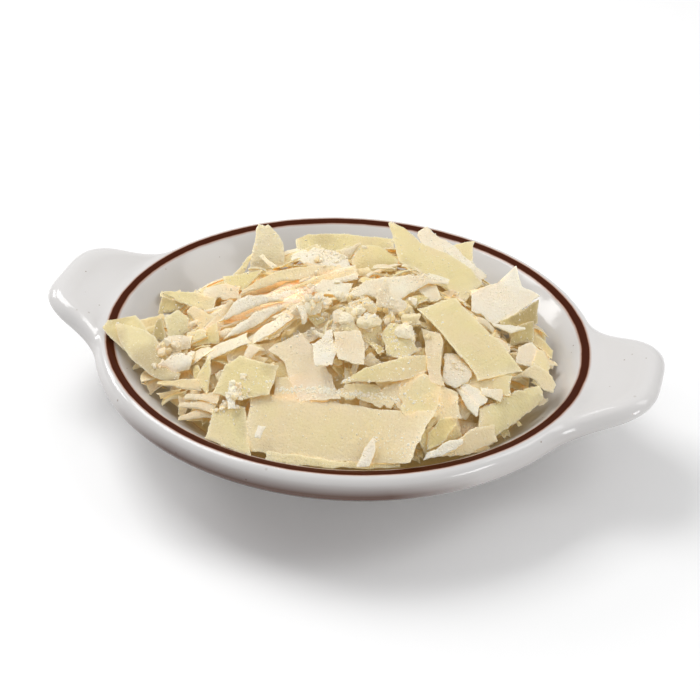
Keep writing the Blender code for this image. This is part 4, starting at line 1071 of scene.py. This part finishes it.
# a tree that sets one of a collection's shapes on every point, turned and sized by the point's attributes
def scatterTree(name, shapes, material):
    tree = bpy.data.node_groups.new(name, "GeometryNodeTree")
    tree.interface.new_socket("Points", in_out="INPUT", socket_type="NodeSocketGeometry")
    size = tree.interface.new_socket("Size", in_out="INPUT", socket_type="NodeSocketFloat")
    size.default_value = 1.0
    tree.interface.new_socket("Geometry", in_out="OUTPUT", socket_type="NodeSocketGeometry")
    link = tree.links.new
    start, finish = node(tree, "NodeGroupInput"), node(tree, "NodeGroupOutput")
    pick = node(tree, "GeometryNodeCollectionInfo")
    pick.inputs["Collection"].default_value = shapes
    pick.inputs["Separate Children"].default_value = True
    pick.inputs["Reset Children"].default_value = True
    held = {}
    for key, sort in (("facing", "FLOAT_VECTOR"), ("extent", "FLOAT_VECTOR"), ("kind", "INT")):
        reader = node(tree, "GeometryNodeInputNamedAttribute", data_type=sort)
        reader.inputs["Name"].default_value = key
        held[key] = reader.outputs["Attribute"]
    sized = node(tree, "ShaderNodeVectorMath", operation="SCALE")
    link(held["extent"], sized.inputs[0])
    link(start.outputs["Size"], sized.inputs["Scale"])
    turn = node(tree, "FunctionNodeEulerToRotation")
    link(held["facing"], turn.inputs[0])
    place = node(tree, "GeometryNodeInstanceOnPoints")
    place.inputs["Pick Instance"].default_value = True
    link(start.outputs["Points"], place.inputs["Points"])
    link(pick.outputs[0], place.inputs["Instance"])
    link(held["kind"], place.inputs["Instance Index"])
    link(turn.outputs[0], place.inputs["Rotation"])
    link(sized.outputs[0], place.inputs["Scale"])
    real = node(tree, "GeometryNodeRealizeInstances")
    link(place.outputs[0], real.inputs[0])
    paint = node(tree, "GeometryNodeSetMaterial")
    paint.inputs["Material"].default_value = material
    link(real.outputs[0], paint.inputs["Geometry"])
    link(paint.outputs[0], finish.inputs[0])
    return tree


# runs the tree over a cloud of points and keeps the plain mesh
def scatter(name, points, facing, extent, kind, floats, shapes, material):
    cloud = newObject(name + "Points", points, [], floats, smooth=False)
    mesh = cloud.data
    for key, values in (("facing", facing), ("extent", extent)):
        mesh.attributes.new(key, "FLOAT_VECTOR", "POINT").data.foreach_set(
            "vector", np.asarray(values, np.float32).ravel())
    mesh.attributes.new("kind", "INT", "POINT").data.foreach_set("value", np.asarray(kind, np.int32))
    modifier = cloud.modifiers.new("scatter", "NODES")
    modifier.node_group = scatterTree(name + "Tree", shapes, material)
    for item in modifier.node_group.interface.items_tree:
        if item.name == "Size":
            modifier[item.identifier] = 1.0
    bpy.context.view_layer.update()
    result = bpy.data.meshes.new_from_object(cloud.evaluated_get(bpy.context.evaluated_depsgraph_get()))
    for key in ("facing", "extent", "kind"):
        if key in result.attributes:
            result.attributes.remove(result.attributes[key])
    cloud.modifiers.clear()
    bpy.data.objects.remove(cloud)
    result.name = name
    made = bpy.data.objects.new(name, result)
    bpy.context.scene.collection.objects.link(made)
    print(name, "faces:", len(result.polygons))
    return made


def removeShapes(shapes):
    for item in list(shapes.objects):
        bpy.data.objects.remove(item)
    bpy.data.collections.remove(shapes)


def makeLooseShavings(placed, material):
    rng = np.random.default_rng(21)
    made = []
    for kind, (name, pitch) in enumerate(heap["pieces"]):
        chosen = placed[placed[:, 9] == kind]
        count = len(chosen)
        shapes = shavingShapes(heap["kinds"], pitch)
        facing = np.column_stack([chosen[:, 4], -chosen[:, 5], np.radians(chosen[:, 3])])
        tone = rng.choice([0.25, 0.4, 1.0], count, p=[0.3, 0.15, 0.55])
        if kind:
            tone = rng.choice([0.15, 0.3, 0.5, 0.75, 0.95], count, p=[0.12, 0.28, 0.25, 0.2, 0.15])
        floats = {"tone": tone, "dust": rng.choice([0, 0.15, 0.5], count, p=[0.5, 0.3, 0.2])}
        kinds = rng.integers(0, heap["kinds"], count)
        piece = scatter(name, chosen[:, :3], facing, chosen[:, 6:9], kinds, floats, shapes, material)
        removeShapes(shapes)
        piece.data.shade_smooth()
        piece.data.set_sharp_from_angle(angle=sharpAngle)
        made.append(piece)
    return made


# The core: what fills the bowl under the loose shavings, lumpy on top

def makeCore(ceiling, material):
    rng = np.random.default_rng(5)
    sides, (cx, cy) = heap["coreSides"], heap["centre"]
    angles = np.linspace(0, 2 * math.pi, sides, endpoint=False)
    oval = lambda share: (cx + heap["halfLength"] * share * np.cos(angles),
                          cy + heap["halfWidth"] * share * np.sin(angles))
    rings = []
    for share in np.linspace(0.05, heap["coreEdge"], 12):
        x, y = oval(share)
        rings.append((x, y, coreFloor(x, y)))
    shares = np.linspace(heap["coreEdge"], 0.03, 90)
    bumps = raggedSheet(rng, len(shares), sides, *heap["coreLumps"])
    bumps[:, -8:] += (bumps[:, :1] - bumps[:, -1:]) * np.linspace(0, 1, 8)
    for k, share in enumerate(shares):
        x, y = oval(share)
        height = coreTop(x, y) + bumps[k] * min(1.0, 3 * share)
        height = np.minimum(height, ceiling[cellOf(x, y)] - heap["coreClearance"])
        rings.append((x, y, np.maximum(height, coreFloor(x, y) + 0.4)))
    points = np.vstack([np.column_stack(ring) for ring in rings])
    points = np.vstack([points, [cx, cy, rings[0][2].mean()], [cx, cy, rings[-1][2].mean()]])
    faces = [face[::-1] for face in ringFaces(len(rings), sides)]
    count = len(points)
    made = newObject("heapCore", points, faces, {"tone": np.full(count, 0.6), "edge": np.zeros(count),
                                                 "dust": np.zeros(count), "along": points[:, 0]})
    made.data.materials.append(material)
    return made


# Lumps: bigger crumbs of torn cheese, mostly on the top

lumps = {
    "kinds": 8,
    # x, y, reaches along and across, turn in plan, how many, smallest and largest
    "clusters": [(13, -16, 13, 9, 0, 34, 2.4, 7.5), (26, -20, 6, 6, 0, 12, 2.5, 6.0),
                 (-20, -58, 4.5, 1.8, 35, 16, 1.6, 3.4), (-49, -38, 6, 5, 0, 14, 2.0, 4.2),
                 (-3, -22, 7, 4, 30, 12, 1.8, 4.5), (46, -26, 4, 4, 0, 4, 1.4, 2.4),
                 (-22, 0, 20, 14, 0, 8, 1.6, 3.0), (-12, 24, 8, 3, 5, 6, 1.6, 3.0),
                 (-19, -53, 2, 4, 0, 8, 1.4, 2.6)],
    "breaks": 9,
    "roughness": [(2.6, 0.12), (6.5, 0.07)],
    "swell": 1.3,
    "seed": 51,
}


# a collection of small shapes, each a ball whose points are moved
def ballShapes(name, count, detail, move):
    box = bpy.data.collections.new(name + "s")
    for k in range(count):
        bpy.ops.mesh.primitive_ico_sphere_add(subdivisions=detail, radius=mm)
        made = bpy.context.object
        made.name = "%s%02d" % (name, k)
        move(made.data.vertices, k)
        for holder in list(made.users_collection):
            holder.objects.unlink(made)
        box.objects.link(made)
    return box


# flat breaks all round, with a rough skin
def breakLump(vertices, k):
    rng = np.random.default_rng(600 + k)
    stretch, shift = rng.uniform(0.6, 1.2, 3), Vector(rng.uniform(-9, 9, 3))
    ways = rng.normal(0, 1, (lumps["breaks"], 3))
    breaks = [(Vector(way).normalized(), rng.uniform(0.45, 0.8)) for way in ways]
    for vertex in vertices:
        place = vertex.co / mm
        for way, reach in breaks:
            place -= way * max(0.0, place.dot(way) - reach)
        rough = sum(depth * noise.noise(place * scale + shift) for scale, depth in lumps["roughness"])
        place = place + place.normalized() * rough
        vertex.co = Vector(np.array(place) * stretch * lumps["swell"] * mm)


def clusterPlaces(rng, x, y, along, across, turn, number):
    u, v = rng.normal(0, along / 1.8, number), rng.normal(0, across / 1.8, number)
    cos, sin = math.cos(math.radians(turn)), math.sin(math.radians(turn))
    return np.column_stack([x + u * cos - v * sin, y + u * sin + v * cos])


def makeLumps(objects, material):
    rng = np.random.default_rng(lumps["seed"])
    places, sizes = [], []
    for x, y, along, across, turn, number, smallest, largest in lumps["clusters"]:
        places.append(clusterPlaces(rng, x, y, along, across, turn, number))
        sizes.append(smallest + (largest - smallest) * rng.random(number) ** 1.6)
    sizes = np.concatenate(sizes)
    spots = dropOn(objects, np.vstack(places))
    shapes = ballShapes("lumpShape", lumps["kinds"], 4, breakLump)
    count = len(spots)
    extent = sizes[:, None] * rng.uniform(0.7, 1.0, (count, 3)) / 2
    points = spots[:, :3] + np.column_stack([np.zeros(count), np.zeros(count), 0.2 * extent.mean(1)])
    facing = rng.uniform(0, 2 * math.pi, (count, 3))
    floats = {"tone": rng.choice([0.5, 0.75, 0.9, 1.0], count), "dust": rng.uniform(0.2, 0.7, count),
              "edge": np.zeros(count), "along": np.zeros(count)}
    kinds = rng.integers(0, lumps["kinds"], count)
    made = scatter("lumps", points, facing, extent, kinds, floats, shapes, material)
    removeShapes(shapes)
    made.data.shade_smooth()
    return made


# Crumbs: grains that lie on the shavings, everywhere and thicker in some places

crumbs = {
    "kinds": 8,
    "scattered": 1500,
    "onEdges": 1700,
    # x, y, reaches along and across, turn in plan, how many, and the largest grain
    "clusters": [(12, -47.5, 24, 1.2, 8, 520, 1.5), (14, -16, 15, 10, 0, 420, 1.9),
                 (24, -30, 10, 8, 0, 240, 1.5), (-20, -58, 4, 3, 30, 110, 1.8),
                 (27, 8, 5, 3, 30, 110, 1.6), (6, -37, 4, 4, 0, 160, 1.2),
                 (52, 20, 7, 7, 0, 220, 0.9), (47, -27, 4, 4, 0, 120, 1.2), (28, 42, 14, 3, -30, 220, 1.0),
                 (28, -60, 12, 5, 10, 90, 1.3), (-50, -40, 6, 6, 0, 160, 1.2), (-6, -24, 9, 6, 30, 360, 1.8),
                 (-12, 25, 9, 3, 0, 120, 1.4), (40, -60, 5, 3, 30, 60, 1.4)],
    "smallest": 0.4,
    "largest": 1.1,
    "largestOnEdges": 0.9,
    "lowest": 30,  # none lies on the bowl
    "steepest": 0.35,
    "seed": 33,
}


def roundCrumb(vertices, k):
    rng = np.random.default_rng(400 + k)
    stretch = rng.uniform(0.7, 1.3, 3)
    for vertex in vertices:
        vertex.co = Vector(np.array(vertex.co) * stretch * rng.uniform(0.65, 1.15))


# plan places and largest sizes of all the crumbs
def crumbPlaces(rng):
    count = crumbs["scattered"]
    angle, radius = rng.uniform(0, 2 * math.pi, count), np.sqrt(rng.random(count))
    places = [np.column_stack([heap["centre"][0] + heap["halfLength"] * radius * np.cos(angle),
                               heap["centre"][1] + heap["halfWidth"] * radius * np.sin(angle)])]
    largest = [np.full(count, crumbs["largest"])]
    for x, y, along, across, turn, number, size in crumbs["clusters"]:
        places.append(clusterPlaces(rng, x, y, along, across, turn, number))
        largest.append(np.full(number, size))
    return np.vstack(places), np.concatenate(largest)


# where straight drops at the given places land on the objects
def dropOn(objects, places):
    trees = [BVHTree.FromObject(item, bpy.context.evaluated_depsgraph_get()) for item in objects]
    spots = []
    for x, y in places:
        hits = [tree.ray_cast(Vector((x * mm, y * mm, 0.2)), Vector((0, 0, -1))) for tree in trees]
        hits = [(hit[0].z, hit[1]) for hit in hits if hit[0]]
        if not hits:
            spots.append((x, y, -1, 0, 0, 1))
            continue
        height, normal = max(hits, key=lambda hit: hit[0])
        spots.append((x, y, height / mm, *(normal if normal.z > 0 else -normal)))
    return np.array(spots)


# plan places along the torn edges of the placed shavings
def crumbsOnEdges(shavings, rng):
    mesh = shavings.data
    spots, edge = np.empty(len(mesh.vertices) * 3, np.float32), np.empty(len(mesh.vertices), np.float32)
    mesh.vertices.foreach_get("co", spots)
    mesh.attributes["edge"].data.foreach_get("value", edge)
    spots = spots.reshape(-1, 3)[edge > 0.6] / mm
    return spots[rng.choice(len(spots), crumbs["onEdges"]), :2] + rng.normal(0, 0.3, (crumbs["onEdges"], 2))


def makeCrumbs(objects, material):
    rng = np.random.default_rng(crumbs["seed"])
    shapes = ballShapes("crumbShape", crumbs["kinds"], 1, roundCrumb)
    places, largest = crumbPlaces(rng)
    places = np.vstack([places, crumbsOnEdges(objects[0], rng)])
    largest = np.append(largest, np.full(crumbs["onEdges"], crumbs["largestOnEdges"]))
    spots = dropOn(objects, places)
    held = (spots[:, 2] > crumbs["lowest"]) & (spots[:, 5] > crumbs["steepest"])
    spots, largest = spots[held], largest[held]
    count = len(spots)
    size = crumbs["smallest"] + (largest - crumbs["smallest"]) * rng.random(count) ** 2.5
    extent = size[:, None] * rng.uniform(0.55, 1.0, (count, 3)) / 2
    points = spots[:, :3] + spots[:, 3:] * extent.mean(1)[:, None] * 0.4
    facing = rng.uniform(0, 2 * math.pi, (count, 3))
    floats = {"tone": rng.uniform(0.9, 1.0, count), "dust": rng.uniform(0.5, 1.0, count),
              "edge": np.zeros(count), "along": np.zeros(count)}
    kinds = rng.integers(0, crumbs["kinds"], count)
    made = scatter("crumbs", points, facing, extent, kinds, floats, shapes, material)
    removeShapes(shapes)
    made.data.shade_smooth()
    made.visible_shadow = False  # light passes through such small grains
    return made


def finishCheese(pieces):
    for piece in pieces:
        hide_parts("cheese")
        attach(piece, "root")


# Surroundings

studio = {
    "world": 0.52,
    # place and size in metres, and power
    "lights": {
        "keyLight": ((-0.52, 0.28, 0.91), (0.6, 0.5), 6.0),
        "fillLight": ((0.66, 0.16, 0.78), (0.35, 0.5), 1.7),
        "leftGlint": ((-0.86, 0.22, 0.50), (0.34, 0.22), 1.8),
        "rightGlint": ((0.86, -0.46, 0.38), (0.30, 0.18), 1.6),
    },
    "aim": (0, 0, 0.03),
    "floor": (0.93, 0.93, 0.93),
    "floorReach": 1500,
    "floorDrop": 0.3,
}


def makeFloor():
    reach, drop = studio["floorReach"], studio["floorDrop"]
    corners = [(-reach, -reach, -drop), (reach, -reach, -drop), (reach, reach, -drop), (-reach, reach, -drop)]
    made = newObject("floor", corners, [(0, 1, 2, 3)], smooth=False)
    paint, _, shader = newMaterial("paleFloor")
    shader.inputs["Base Color"].default_value = (*studio["floor"], 1)
    shader.inputs["Roughness"].default_value = 0.6
    made.data.materials.append(paint)
    made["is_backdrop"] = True


def makeLights():
    for name, (place, size, power) in studio["lights"].items():
        data = bpy.data.lights.new(name, "AREA")
        data.shape = "RECTANGLE"
        data.size, data.size_y = size
        data.energy = power
        made = bpy.data.objects.new(name, data)
        made.location = place
        made.rotation_euler = (Vector(place) - Vector(studio["aim"])).to_track_quat("Z", "Y").to_euler()
        bpy.context.scene.collection.objects.link(made)
    world = bpy.data.worlds.new("softStudio")
    bpy.context.scene.world = world
    world.use_nodes = True
    world.node_tree.nodes["Background"].inputs[0].default_value = (1, 1, 1, 1)
    world.node_tree.nodes["Background"].inputs[1].default_value = studio["world"]


# The photograph's viewpoint: the camera looks down at the middle of the rim, and the picture is
# 700 pixels wide, with the dish a little off its centre.
view = {
    "azimuth": 17.63,
    "elevation": 35.17,
    "distance": 0.51645,
    "lens": 74.5,
    "sensor": 36,
    "middlePixel": (345.9, 331.4),
    "pictureWidth": 700,
}


def makeCamera():
    azimuth, elevation = math.radians(view["azimuth"]), math.radians(view["elevation"])
    back = Vector((math.sin(azimuth) * math.cos(elevation), -math.cos(azimuth) * math.cos(elevation),
                   math.sin(elevation)))
    camera = bpy.data.objects.new("camera", bpy.data.cameras.new("camera"))
    camera.location = Vector((0, 0, dish["rimHeight"] * mm)) + back * view["distance"]
    camera.rotation_euler = back.to_track_quat("Z", "Y").to_euler()
    camera.data.sensor_width = view["sensor"]
    camera.data.lens = view["lens"]
    half = view["pictureWidth"] / 2
    camera.data.shift_x = (half - view["middlePixel"][0]) / view["pictureWidth"]
    camera.data.shift_y = (view["middlePixel"][1] - half) / view["pictureWidth"]
    bpy.context.scene.collection.objects.link(camera)
    bpy.context.scene.camera = camera


makeDish()
print("dish done")
shavingPaint = cheeseMaterial("shavedCheese", 0.3, 0.75)
corePaint = cheeseMaterial("heapedCheese", 0.1, 0.0)
lumpPaint = cheeseMaterial("cheeseLumps", 0.3, 0.5, crevices=False)
crumbPaint = cheeseMaterial("cheeseCrumbs", 0.6, 0.0, crevices=False)
bigOnes, undersides = makeBigShavings()
bigOnes.data.materials.append(shavingPaint)
ceiling = ceilingOver(undersides)
looseOnes = makeLooseShavings(settleShavings(ceiling), shavingPaint)
pieces = [bigOnes, *looseOnes, makeCore(ceiling, corePaint)]
pieces.append(makeLumps(pieces, lumpPaint))
pieces.append(makeCrumbs(pieces, crumbPaint))
finishCheese(pieces)
for piece in pieces:
    print(piece.name, "triangles:", sum(len(face.vertices) - 2 for face in piece.data.polygons))
print("heap done")

makeFloor()
makeLights()
makeCamera()
bpy.context.scene.view_settings.view_transform = "Standard"

boxes = {"cad": cadBox, "visual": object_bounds()}
{name: [list(corner) for corner in box] for name, box in boxes.items()}
